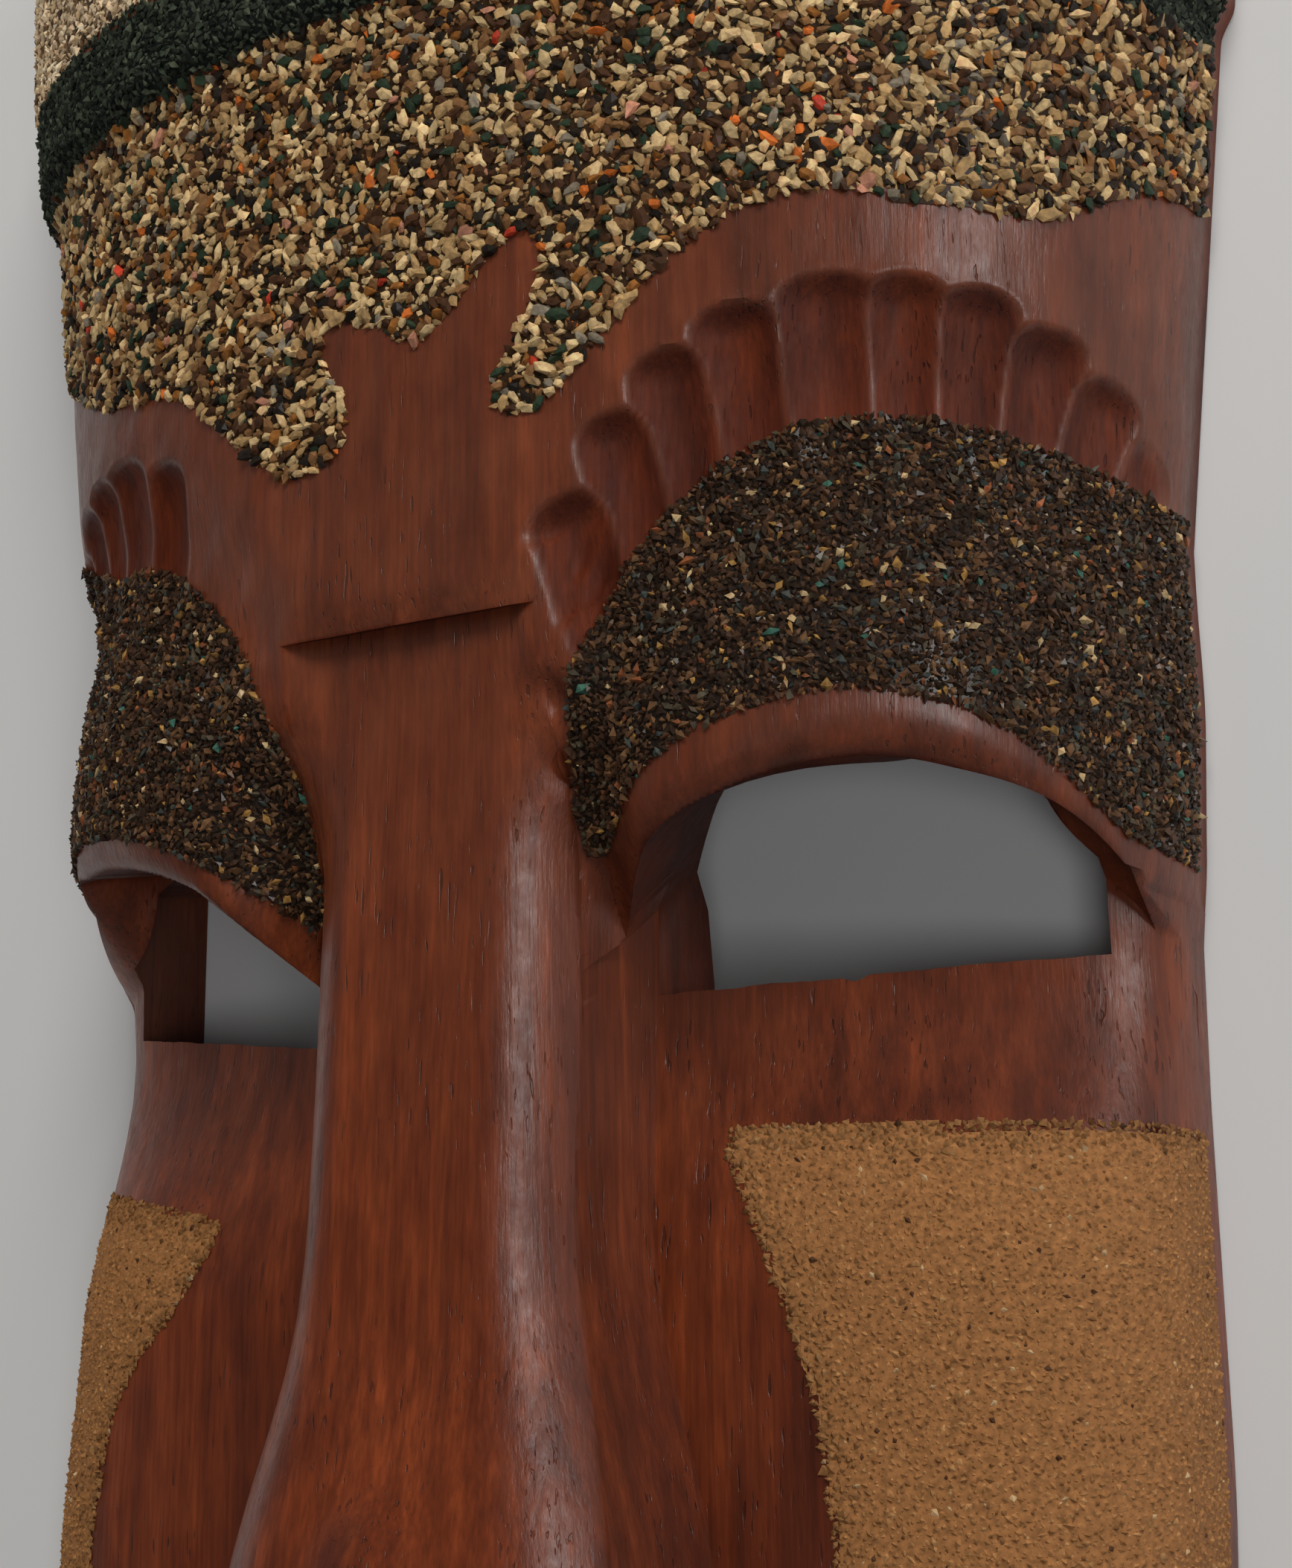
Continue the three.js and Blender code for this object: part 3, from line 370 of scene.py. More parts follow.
def waviness(p, scale, seed):
    """Slow unevenness in waves of about the given length."""
    rng = np.random.default_rng(seed)
    total = np.zeros(p.shape[:-1])
    for _ in range(WAVES):
        direction = rng.normal(size=3) / scale
        total += np.sin(p @ direction * 2 * math.pi + rng.uniform(0, 2 * math.pi))
    return total / WAVES


def chain(*parts):
    return np.concatenate([np.asarray(p, float).ravel() for p in parts])


# Columns and rows of the two grids, closer together beside the nose and along the hoods
INNER_ZONE = 30.0
DOME_INNER = chain(np.arange(0, 14.0, 0.78), 14.2, 14.45, np.linspace(15.0, INNER_ZONE, 34))
DOME_OUTER = 112
FACE_INNER = chain(np.arange(0, 14.0, 0.78), 14.15, 14.5, 14.6, np.arange(15.0, 30.01, 0.6))
FACE_OUTER = 64
DOME_LOW_ROWS = chain(CHIN_Y, -134.6, -133.6, -132, np.arange(-130, -8.9, 3.0))
FACE_ROWS = chain(CHIN_Y, -134.6, -133.6, -132, np.arange(-130, -63, 1.7), np.arange(-62.4, -8, 1.3))
RECESS_ROWS = 45
EDGE_STEPS = chain(-2.5, -0.6, 0, 0.06, 0.16, 0.3, 0.5, 0.8, 1.1, 1.6, 2.2, 2.9, 3.7, 4.5)
LEVEL_Y, LEVEL_ROWS = 67.0, 112
HIGH_ROWS = chain(np.arange(68.5, 99, 2.2), np.arange(99, 106, 0.7), np.arange(107, 160, 2.4),
                  np.arange(160, 170.6, 1.0), CROWN_Y)
WIDE_Y = 60.0


def dome_grid():
    """Grid over the upper face, whose rows follow the edge of the hoods and are level further up."""
    width = half_width(WIDE_Y)
    turn = np.linspace(math.asin(INNER_ZONE / width), math.pi / 2, DOME_OUTER + 1)[1:]
    x0 = mirrored(np.concatenate([DOME_INNER, width * np.sin(turn)]))
    follow = hood_edge(np.copysign(np.maximum(np.abs(x0), NOSE_HALF + SIDE_GAP), x0))
    lines = [np.full_like(x0, y) for y in DOME_LOW_ROWS]
    lines += [follow + step for step in EDGE_STEPS]
    lines += [mix(follow + EDGE_STEPS[-1], LEVEL_Y, t) for t in np.linspace(0, 1, LEVEL_ROWS)[1:]]
    lines += [np.full_like(x0, y) for y in HIGH_ROWS]
    y = np.stack(lines)
    here = half_width(y)
    squeeze = np.minimum(1.0, here / SQUEEZE_WIDTH)
    zone = INNER_ZONE * squeeze
    outer = zone + (here - zone) * (np.abs(x0) - INNER_ZONE) / (width - INNER_ZONE)
    x = np.where(np.abs(x0) <= INNER_ZONE, x0 * squeeze, np.sign(x0) * outer)
    return np.stack([x, y, upper_height(x, y)], -1)


def surface_normal(x, y):
    """Direction straight out of the upper face."""
    e = SLOPE_STEP
    nx = (upper_height(x + e, y) - upper_height(x - e, y)) / (2 * e)
    ny = (upper_height(x, y + e) - upper_height(x, y - e)) / (2 * e)
    normal = np.array([-float(nx), -float(ny), 1.0])
    return normal / np.linalg.norm(normal)


def gouge_field(points):
    """Depth of the cuts at points, how much deeper it is than the next cut's, and the distance
    to the edges of the cuts."""
    deepest_cut = np.full(points.shape[:-1], -1.0)
    second_cut = np.full(points.shape[:-1], -1.0)
    nearest_edge = np.full(points.shape[:-1], 9.0)
    for side in (1, -1):
        for a, top, half, deepest in GOUGES[LEFT_GOUGES_SKIPPED if side < 0 else 0:]:
            deepest *= LEFT_GOUGE_SHARE if side < 0 else 1.0
            start = np.array([a * side, top - (LEFT_GOUGE_DROP if side < 0 else 0.0)])
            focus = np.array([GOUGE_FOCUS[0] * side, GOUGE_FOCUS[1]])
            ahead = (focus - start) / np.linalg.norm(focus - start)
            p0 = np.array([*start, float(upper_height(*start))])
            far = start + ahead * GOUGE_LENGTH
            p1 = np.array([*far, float(upper_height(*far))])
            axis = (p1 - p0) / np.linalg.norm(p1 - p0)
            cross = np.cross(surface_normal(*start), axis)
            cross /= np.linalg.norm(cross)
            q = points - p0
            along, across = q @ axis, q @ cross
            ease = 1 - GOUGE_EASE * np.clip((along - GOUGE_NOSE) / GOUGE_EASE_OVER, 0, 1)
            bottom = deepest * ease * (1 - smooth(*GOUGE_OUT, along))
            back = np.maximum(GOUGE_NOSE - along, 0.0) / GOUGE_NOSE
            beside = np.abs(across / half)
            from_axis = (back ** GOUGE_SHOULDER + beside ** GOUGE_SHOULDER) ** (1 / GOUGE_SHOULDER)
            here = bottom * (1 - from_axis ** 2)
            near = (np.linalg.norm(q, axis=-1) < GOUGE_REACH) & (from_axis < GOUGE_SIDES)
            second = np.maximum(second_cut, np.minimum(deepest_cut, here))
            second_cut = np.where(near, second, second_cut)
            deepest_cut = np.where(near, soft_max(deepest_cut, here, GOUGE_BLEND), deepest_cut)
            rim = np.abs(from_axis - BURR_AT) * half
            nearest_edge = np.where(along < BURR_END, np.minimum(nearest_edge, rim), nearest_edge)
    depth = 0.5 * (deepest_cut + np.sqrt(deepest_cut ** 2 + GOUGE_SOFT))
    return depth, deepest_cut - second_cut, nearest_edge


def gouge_depth(grid):
    """Depth of the gouge cuts over the upper face, less the burr that stands beside them."""
    depth, _, nearest_edge = gouge_field(grid)
    rows, cols = depth.shape
    blur = ((-1, 0.2), (0, 0.6), (1, 0.2))
    depth[1:-1, 1:-1] = sum(depth[1 + j:rows - 1 + j, 1 + i:cols - 1 + i] * w * v
                            for j, w in blur for i, v in blur)
    burr = BURR_HEIGHT * np.exp(-(nearest_edge / BURR_WIDTH) ** 2 - (depth / BURR_ABOVE) ** 2)
    return depth - burr


# Small cuts beside the nose: centre, half sizes, depth and turn in plan
KNIFE_MARKS = [
    (15.2, 26.3, 1.7, 2.8, 1.2, 0.4), (14.4, 19.6, 1.5, 2.6, 1.1, 0.3), (18.2, 38.6, 1.0, 3.4, 0.6, -0.45),
    (19.8, 36.9, 0.9, 3.4, 0.5, -0.5), (17.2, 34.4, 1.1, 3.0, 0.7, -0.35), (15.6, 41.8, 1.3, 2.6, 0.8, -1.1),
]


def knife_marks(points):
    """Depth of the small cuts at each point."""
    depth = np.zeros(points.shape[:-1])
    for cx, cy, wide, high, deep, turn in KNIFE_MARKS:
        dx, dy = points[..., 0] - cx, points[..., 1] - cy
        u = (dx * math.cos(turn) + dy * math.sin(turn)) / wide
        v = (dy * math.cos(turn) - dx * math.sin(turn)) / high
        depth = np.maximum(depth, deep * np.maximum(0.0, 1 - u * u - v * v) ** 1.5)
    return depth


def face_space():
    """Everything in front of the lower face, up to the underside of brow and hoods."""
    floor, roof = [], []

    def widened(y):
        xs = columns(y, FACE_INNER, FACE_OUTER, nose_spread(y))
        outside = half_width(y) + TOOL_SIDE
        return np.concatenate([[-outside], xs, [outside]])

    def point(xs, ys):
        beyond = np.abs(xs) > half_width(ys) + 1e-6
        return np.stack([xs, ys, np.where(beyond, FACE_EDGE, face_height(xs, ys))], -1)

    xs = widened(CHIN_Y)
    first = point(xs, np.full_like(xs, CHIN_Y))
    first[:, 1] -= TOOL_END
    first[:, 2] = FACE_EDGE
    floor.append(first)
    for y in FACE_ROWS:
        xs = widened(y)
        floor.append(point(xs, np.full_like(xs, y)))
    roof = [flat(row, TOOL_TOP) for row in floor]
    xs = widened(0.0)
    on_face = np.clip(xs, -half_width(0.0), half_width(0.0))
    root_y = np.where(np.abs(on_face) < NOSE_HALF + SIDE_GAP / 2, BROW_OVERHANG_Y, 0.0)
    base = ceiling(on_face, face_height(on_face, root_y))
    high = ceiling(on_face, TOOL_TOP)
    for t in np.linspace(0, 1, RECESS_ROWS + 1)[1:]:
        floor.append(point(xs, mix(FACE_ROWS[-1], base, t)))
        roof.append(np.stack([xs, mix(FACE_ROWS[-1], high, t), np.full_like(xs, TOOL_TOP)], -1))
    return np.stack(floor), np.stack(roof)


def eye_hole(side):
    """Tool for one eye hole, of three rings of points."""
    count = EYE_POINTS
    a = np.linspace(EYE_INNER, EYE_OUTER, count)
    low, high = LEFT_SILL if side < 0 else RIGHT_SILL
    rng = np.random.default_rng(5 + side)
    nicks = np.convolve(rng.normal(0, NICK_SIZE, count + 4), np.ones(5) / 5, "valid")
    sill = mix(low, high, (a - EYE_INNER) / (EYE_OUTER - EYE_INNER)) + nicks
    if side > 0:
        sill -= NOTCH_DEPTH * np.exp(-((a - NOTCH_X) / NOTCH_WIDTH) ** 2)
    floor = face_height(a, 0.0)
    levels = [(np.full_like(a, EYE_TOOL_LOW), 0.0), (floor, 0.0), (floor + EYE_TOOL_OVER, EYE_TOOL_INSET)]
    rings = []
    for z, drop in levels:
        lower = np.stack([a * side, sill, z], -1)
        upper = np.stack([a * side, ceiling(a * side, z) - drop, z], -1)
        ring = np.concatenate([lower, upper[::-1]])
        rings.append(ring if side > 0 else ring[::-1])
    size = 2 * count
    v = np.concatenate(rings)
    faces = []
    for n in range(2):
        for i in range(size):
            j = (i + 1) % size
            faces.append([n * size + i, n * size + j, (n + 1) * size + j, (n + 1) * size + i])
    for i in range(count - 1):
        j = size - 1 - i
        faces.append([2 * size + i, 2 * size + i + 1, 2 * size + j - 1, 2 * size + j])
        faces.append([i + 1, i, j, j - 1])
    return v, faces


def hollow():
    """Tool for the hollow back, which leaves a flat rim all round."""
    low, high = CHIN_Y + RIM_WIDTH + RIM_ENDS, CROWN_Y - RIM_WIDTH - RIM_ENDS
    middle, half = (low + high) / 2, (high - low) / 2
    turn = np.linspace(-math.pi / 2, math.pi / 2, 61)
    side = np.sin(np.linspace(-math.pi / 2, math.pi / 2, 49))
    rows = []
    for y in middle + half * np.sin(turn):
        reach = abs(y - middle) / half
        end = round_off(reach, HOLLOW_END_POWER)
        width = min(half_width(y) - RIM_WIDTH, half_width(middle) * end)
        depth = mix(HOLLOW_FACE, HOLLOW_FOREHEAD, smooth(*HOLLOW_STEP, y))
        rise = depth * round_off(np.abs(side), HOLLOW_POWER) * round_off(reach, HOLLOW_POWER)
        rows.append(np.stack([max(HOLLOW_LEAST, width) * side, np.full_like(side, y), rise], -1))
    grid = np.stack(rows)
    return between(grid, flat(grid, HOLLOW_TOOL_LOW))


def cut(target, vertices, faces):
    tool = mesh_object("cutter", vertices, faces)
    step = target.modifiers.new("cut", "BOOLEAN")
    step.operation = "DIFFERENCE"
    step.solver = "MANIFOLD"
    step.object = tool
    bpy.context.view_layer.update()
    done = bpy.data.meshes.new_from_object(target.evaluated_get(bpy.context.evaluated_depsgraph_get()))
    target.modifiers.remove(step)
    old = target.data
    target.data = done
    bpy.data.meshes.remove(old)
    bpy.data.objects.remove(tool)


def to_frame(v):
    """Places in the frame, where the left cheek stands out further than the right one."""
    share = np.clip(-v[..., 0] / CHEEK_HALF_WIDTH, 0.0, 1.1)
    out = v.copy()
    out[..., 0] -= LEFT_CHEEK_SWELL * share * share * smooth(*SWELL_SPAN, -v[..., 1])
    out[..., 1] -= CENTRE_Y
    return out


def carve(front):
    """The upper face with its gouges and the slight waviness that the knife left."""
    normals = grid_normals(front)
    x, y, z = front[..., 0], front[..., 1], front[..., 2]
    lids = (y > upper_edge(x) + ABOVE_EDGE) & (y < LID_TOP_Y)
    depth = np.where(lids, gouge_depth(front), 0.0)
    wave = 0.16 * waviness(front, 24, 3) + 0.07 * waviness(front, 9, 4)
    below_block = z < NOSE_BLOCK_TOP - 1
    free = (y > upper_edge(x) + WAVE_FROM) & (z > ABOVE_RIM) & below_block
    out = front + normals * (np.where(free, wave, 0.0) - depth)[..., None]
    out[..., 2] -= np.where(below_block, knife_marks(front), 0.0)
    return out


def rows_of(items, name):
    """Places or normals of a mesh as rows of an array."""
    out = np.empty(len(items) * 3)
    items.foreach_get(name, out)
    return out.reshape(-1, 3)


# Where the sides of the eye holes lie, and the largest z of their normals
PIERCED_FLAT, PIERCED_X, PIERCED_Y, PIERCED_TOP = 0.3, (16.3, 58.0), (-4.0, 20.0), 32.0
SHARP_ANGLE = 46


def raw_wood_and_shade(v, n):
    """Share at points of rough, unpolished wood that the material also darkens as painted shade: gouges,
    undersides and sides of the eye holes.
    """
    a, y = np.abs(v[:, 0]), v[:, 1]
    lids = (y > upper_edge(v[:, 0]) + ABOVE_EDGE) & (y < LID_TOP_Y) & (v[:, 2] > ABOVE_RIM)
    depth, from_ridge, _ = gouge_field(v)
    gouged = np.where(lids, smooth(0.15, 0.6, depth) * smooth(0.1, 0.6, from_ridge), 0.0)
    # faces turned downwards get painted shade
    undersides = np.maximum(smooth(0.7, 0.85, -n[:, 1]), smooth(0.2, 0.5, -n[:, 2]))
    pierced = (np.abs(n[:, 2]) < PIERCED_FLAT) & (v[:, 2] < PIERCED_TOP)
    for values, (low, high) in ((a, PIERCED_X), (y, PIERCED_Y)):
        pierced &= (values > low) & (values < high)
    return np.maximum(np.maximum(gouged, undersides), pierced)


def wood_body(carved, floor, roof):
    """The carved block, less the space before the face, the hollow back and the two eyes."""
    body = mesh_object("mask_wood", *standing(carved))
    for tool in (between(roof, floor), hollow(), eye_hole(1), eye_hole(-1)):
        cut(body, *tool)
    mesh = body.data
    v = rows_of(mesh.vertices, "co") / MM
    raw_and_shade = raw_wood_and_shade(v, rows_of(mesh.vertex_normals, "vector"))
    mesh.attributes.new("raw_and_shade", "FLOAT", "POINT").data.foreach_set("value", raw_and_shade.astype(np.float32))
    mesh.vertices.foreach_set("co", (to_frame(v) * MM).ravel())
    mesh.polygons.foreach_set("use_smooth", np.ones(len(mesh.polygons), bool))
    mesh.update()
    mesh.set_sharp_from_angle(angle=math.radians(SHARP_ANGLE))
    return body


# Materials

def colour(r, g, b):
    """Linear colour of an sRGB triple of 0 to 255."""
    c = np.array([r, g, b]) / 255
    return np.where(c < 0.04045, c / 12.92, ((c + 0.055) / 1.055) ** 2.4)


class Shader:
    """A node material under construction."""

    def __init__(self, name):
        self.material = bpy.data.materials.new(name)
        self.material.use_nodes = True
        self.nodes = self.material.node_tree.nodes
        self.links = self.material.node_tree.links
        self.surface = self.nodes["Principled BSDF"]
        self.place = self.new("TexCoord").outputs["Object"]

    def new(self, kind):
        return self.nodes.new("ShaderNode" + kind)

    def put(self, node, name, value):
        socket = node.inputs[name]
        if isinstance(value, bpy.types.NodeSocket):
            self.links.new(value, socket)
        else:
            socket.default_value = (*value, 1.0) if socket.type == "RGBA" else value

    def add(self, kind, **inputs):
        node = self.new(kind)
        for name, value in inputs.items():
            self.put(node, name.replace("_", " "), value)
        return node

    def set(self, **inputs):
        for name, value in inputs.items():
            self.put(self.surface, name.replace("_", " "), value)

    def attribute(self, name, output):
        node = self.new("Attribute")
        node.attribute_name = name
        return node.outputs[output]

    def math(self, operation, a, b=0.0):
        node = self.new("Math")
        node.operation = operation
        self.put(node, 0, a)
        self.put(node, 1, b)
        return node.outputs[0]

    def times(self, a, b):
        return self.math("MULTIPLY", a, b)

    def noise(self, across, along, detail, rough, distort=0.0):
        """Noise of so many features a metre across the grain and along it."""
        scaled = self.new("VectorMath")
        scaled.operation = "MULTIPLY"
        self.put(scaled, 0, self.place)
        self.put(scaled, 1, (across, along, across))
        node = self.add("TexNoise", Vector=scaled.outputs[0], Scale=1.0,
                        Detail=detail, Roughness=rough, Distortion=distort)
        return node.outputs["Fac"]

    def ramp(self, value, *stops):
        node = self.new("ValToRGB")
        self.put(node, "Fac", value)
        elements = node.color_ramp.elements
        while len(elements) < len(stops):
            elements.new(0.5)
        for element, (at, shade) in zip(elements, stops):
            element.position = at
            element.color = (*(shade if hasattr(shade, "__len__") else [shade] * 3), 1.0)
        return node.outputs["Color"]

    def level(self, value, low, high, to_low=0.0, to_high=1.0):
        node = self.add("MapRange", Value=value, From_Min=low, From_Max=high,
                        To_Min=to_low, To_Max=to_high)
        return node.outputs["Result"]

    def blend(self, factor, a, b, kind="MIX"):
        node = self.new("Mix")
        node.data_type = "RGBA"
        node.blend_type = kind
        self.put(node, 0, factor)
        self.put(node, 6, a)
        self.put(node, 7, b)
        return node.outputs[2]

    def bump(self, height, distance, strength):
        node = self.add("Bump", Height=height, Distance=distance, Strength=strength)
        self.put(self.surface, "Normal", node.outputs["Normal"])


WOOD_TONES = [(0.36, (57, 20, 8)), (0.46, (83, 32, 14)), (0.54, (103, 43, 18)), (0.64, (134, 60, 26))]
# The fourth tone is painted shade for the gouges, undersides and sides of the eye holes.
STREAK_TONE, PORE_TONE, PAINTED_SHEEN_TONE, RAW_AND_SHADE_TONE = (50, 20, 12), (34, 14, 9), (106, 68, 52), (56, 22, 12)
# Metres in the frame between which the third tone, a painted sheen, grows
PAINTED_SHEEN_HEIGHTS = (-0.045, 0.02)


def wood_material():
    """Oiled hardwood: grain along y, dark streaks and pores, and a painted sheen that makes it paler higher
    up.
    """
    s = Shader("hardwood")
    broad = s.noise(45, 7, 3.0, 0.55, 0.5)
    fibre = s.noise(420, 14, 4.0, 0.62, 0.3)
    fine = s.noise(2400, 120, 3.0, 0.6)
    mottle = s.noise(260, 110, 3.0, 0.6)
    grain = s.math("ADD", s.times(broad, 0.45), s.times(fibre, 0.35))
    grain = s.math("ADD", grain, s.times(mottle, 0.2))
    tone = s.ramp(grain, *((at, colour(*shade)) for at, shade in WOOD_TONES))
    streak = s.level(s.noise(300, 6, 2.0, 0.7), 0.58, 0.74)
    tone = s.blend(s.times(streak, 0.4), tone, colour(*STREAK_TONE))
    pores = s.level(s.noise(2600, 300, 1.0, 0.4), 0.66, 0.72)
    where = s.level(s.noise(110, 60, 2.0, 0.5), 0.42, 0.6)
    pores = s.times(pores, where)
    tone = s.blend(s.times(pores, 0.75), tone, colour(*PORE_TONE))
    tone = s.blend(0.35, tone, s.ramp(fine, (0.3, 0.05), (0.7, 0.75)), "OVERLAY")
    dust = s.noise(900, 500, 3.0, 0.65)
    height = s.add("SeparateXYZ", Vector=s.place).outputs["Y"]
    raw_and_shade = s.attribute("raw_and_shade", "Fac")
    # Painted sheen: the wood turns paler higher up the face, less on raw wood.
    higher = s.level(height, *PAINTED_SHEEN_HEIGHTS, 0.08, 0.32)
    painted_sheen = s.times(higher, s.level(mottle, 0.3, 0.7, 0.7, 1.2))
    painted_sheen = s.times(painted_sheen, s.math("SUBTRACT", 1.0, raw_and_shade))
    tone = s.blend(painted_sheen, tone, colour(*PAINTED_SHEEN_TONE))
    # Painted shade: the raw mask darkens gouges, faces turned down and the sides of the eye holes, and makes
    # them rougher.
    tone = s.blend(s.times(raw_and_shade, 0.3), tone, colour(*RAW_AND_SHADE_TONE))
    rough = s.math("ADD", s.level(dust, 0.3, 0.7, 0.3, 0.44), s.times(raw_and_shade, 0.36))
    s.set(Base_Color=tone, Roughness=rough, Specular_IOR_Level=0.5)
    relief = s.math("SUBTRACT", s.times(s.math("ADD", fine, dust), 0.3), pores)
    s.bump(relief, 0.00025, 0.6)
    return s.material


def grit_material(name, rough, varnish=0.0):
    """Stone in the colour of each grain, a little spotted."""
    s = Shader(name)
    spots = s.noise(1500, 1500, 2.0, 0.6)
    shading = s.ramp(spots, (0.3, 0.1), (0.7, 0.75))
    tone = s.blend(0.45, s.attribute("tint", "Color"), shading, "OVERLAY")
    s.set(Base_Color=tone, Roughness=s.level(spots, 0.3, 0.7, rough - 0.12, rough + 0.12),
          Specular_IOR_Level=0.3, Coat_Weight=varnish, Coat_Roughness=0.2)
    return s.material


# Glued grit and sand: the two shapes that grains are broken from, as corners and triangles

G, G_RADIUS = 1.618, 1.902
ICOSAHEDRON = (
    np.array([(-1, G, 0), (1, G, 0), (-1, -G, 0), (1, -G, 0), (0, -1, G), (0, 1, G), (0, -1, -G),
              (0, 1, -G), (G, 0, -1), (G, 0, 1), (-G, 0, -1), (-G, 0, 1)]) / G_RADIUS,
    np.array([(0, 11, 5), (0, 5, 1), (0, 1, 7), (0, 7, 10), (0, 10, 11), (1, 5, 9), (5, 11, 4),
              (11, 10, 2), (10, 7, 6), (7, 1, 8), (3, 9, 4), (3, 4, 2), (3, 2, 6), (3, 6, 8),
              (3, 8, 9), (4, 9, 5), (2, 4, 11), (6, 2, 10), (8, 6, 7), (9, 8, 1)]),
)
OCTAHEDRON = (
    np.array([(1, 0, 0), (-1, 0, 0), (0, 1, 0), (0, -1, 0), (0, 0, 1), (0, 0, -1)], float),
    np.array([(0, 2, 4), (2, 1, 4), (1, 3, 4), (3, 0, 4), (2, 0, 5), (1, 2, 5), (3, 1, 5), (0, 3, 5)]),
)


def curve(points, count):
    """Points of a smooth curve through the given ones."""
    p = np.array(points, float)
    t = np.linspace(0, len(p) - 1, count + 1)
    i = np.minimum(t.astype(int), len(p) - 2)
    w = (t - i)[:, None]
    before, a, b, after = p[np.maximum(i - 1, 0)], p[i], p[i + 1], p[np.minimum(i + 2, len(p) - 1)]
    va, vb = (b - before) / 2, (after - a) / 2
    return (2 * a - 2 * b + va + vb) * w ** 3 + (3 * b - 3 * a - 2 * va - vb) * w ** 2 + va * w + a


def inside(outline, x, y):
    outline = np.asarray(outline, float)
    hit = np.zeros(np.shape(x), bool)
    for (ax, ay), (bx, by) in zip(outline, np.roll(outline, -1, axis=0)):
        if ay != by:
            hit ^= ((ay > y) != (by > y)) & (x < (bx - ax) * (y - ay) / (by - ay) + ax)
    return hit


# Cells of a grid count up to this far outside an outline
CELL_MARGIN = 1.5


def cell_areas(grid, within):
    """Area of each cell of a grid in or near an outline, else 0."""
    a, b, c, d = corners(grid)
    area = np.linalg.norm(np.cross(c - a, d - b), axis=-1) / 2
    middle = sum(corners(grid)) / 4
    return np.where(within(middle, CELL_MARGIN), area, 0.0)


def sampled(grid, normals, areas, within, count, rng):
    """Random points spread evenly over the part of a grid inside an outline."""
    area = areas.ravel()
    pick = rng.choice(area.size, count, p=area / area.sum())
    j, i = np.divmod(pick, grid.shape[1] - 1)
    u, v = rng.uniform(size=(2, count, 1))

    def at(g):
        low = mix(g[j, i], g[j, i + 1], u)
        return mix(low, mix(g[j + 1, i], g[j + 1, i + 1], u), v)

    p, n = at(grid), at(normals)
    keep = within(p, 0.0)
    return p[keep], n[keep] / np.linalg.norm(n[keep], axis=-1, keepdims=True)


AROUND = [(i, j, k) for i in (0, -1, 1) for j in (0, -1, 1) for k in (0, -1, 1)]


def spaced(points, gap):
    """Indices of points, none of which stand nearer together than gap."""
    cells, kept, least = {}, [], gap * gap

    def crowded(key, p):
        for di, dj, dk in AROUND:
            for q in cells.get((key[0] + di, key[1] + dj, key[2] + dk), ()):
                if (p[0] - q[0]) ** 2 + (p[1] - q[1]) ** 2 + (p[2] - q[2]) ** 2 < least:
                    return True
        return False

    keys = np.floor(points / gap).astype(int).tolist()
    for n, (key, p) in enumerate(zip(keys, points.tolist())):
        if not crowded(key, p):
            cells.setdefault(tuple(key), []).append(p)
            kept.append(n)
    return kept


def grains(points, normals, size, rng, form, length, flatness, tilt, lift):
    """Broken lumps standing on a surface, as vertices of shape (count, corners, 3)."""
    base, _ = form
    count = len(points)
    v = base[None] * (1 + rng.uniform(-0.42, 0.34, (count, len(base), 1)))
    v = v * np.stack([rng.uniform(*length, count), rng.uniform(0.62, 1.0, count),
                      rng.uniform(*flatness, count)], -1)[:, None]
    first = np.cross(normals, rng.normal(size=(count, 3)))
    first /= np.linalg.norm(first, axis=-1, keepdims=True)
    up = normals + tilt * rng.normal(size=(count, 3))
    up /= np.linalg.norm(up, axis=-1, keepdims=True)
    first -= up * np.sum(first * up, -1, keepdims=True)
    first /= np.linalg.norm(first, axis=-1, keepdims=True)
    second = np.cross(up, first)
    v = v[..., 0:1] * first[:, None] + v[..., 1:2] * second[:, None] + v[..., 2:3] * up[:, None]
    raised = points[:, None] + normals[:, None] * (size * lift)[:, None, None]
    return raised + v * (size / 2)[:, None, None]


def skin(grid, normals, within, rise):
    """The glue under the grit, partly painted shade between the grains: faces of the grid that lie well
    inside the outline.
    """
    rows, cols = grid.shape[:2]
    middle = (grid[:-1, :-1] + grid[1:, 1:]) / 2
    keep = within(middle, -0.5)
    at = np.arange(rows * cols).reshape(rows, cols)
    quads = np.stack(corners(at), -1)[keep]
    used, index = np.unique(quads, return_inverse=True)
    return (grid + normals * rise).reshape(-1, 3)[used], index.reshape(-1, 4)


def region(outline):
    """Test for points inside an outline grown by a margin."""
    def within(points, margin):
        x, y = points[..., 0], points[..., 1]
        if margin == 0.0:
            return inside(outline, x, y)
        hits = [inside(outline, x + dx, y + dy) for dx, dy in
                ((margin, 0), (-margin, 0), (0, margin), (0, -margin))]
        return np.any(hits, axis=0) if margin > 0 else np.all(hits, axis=0)

    return within


# Share of the layout's height for the grains, and start and height of the strip for the glue
GRAIN_SHARE, GLUE_FROM, GLUE_HIGH = 0.8, 0.85, 0.14


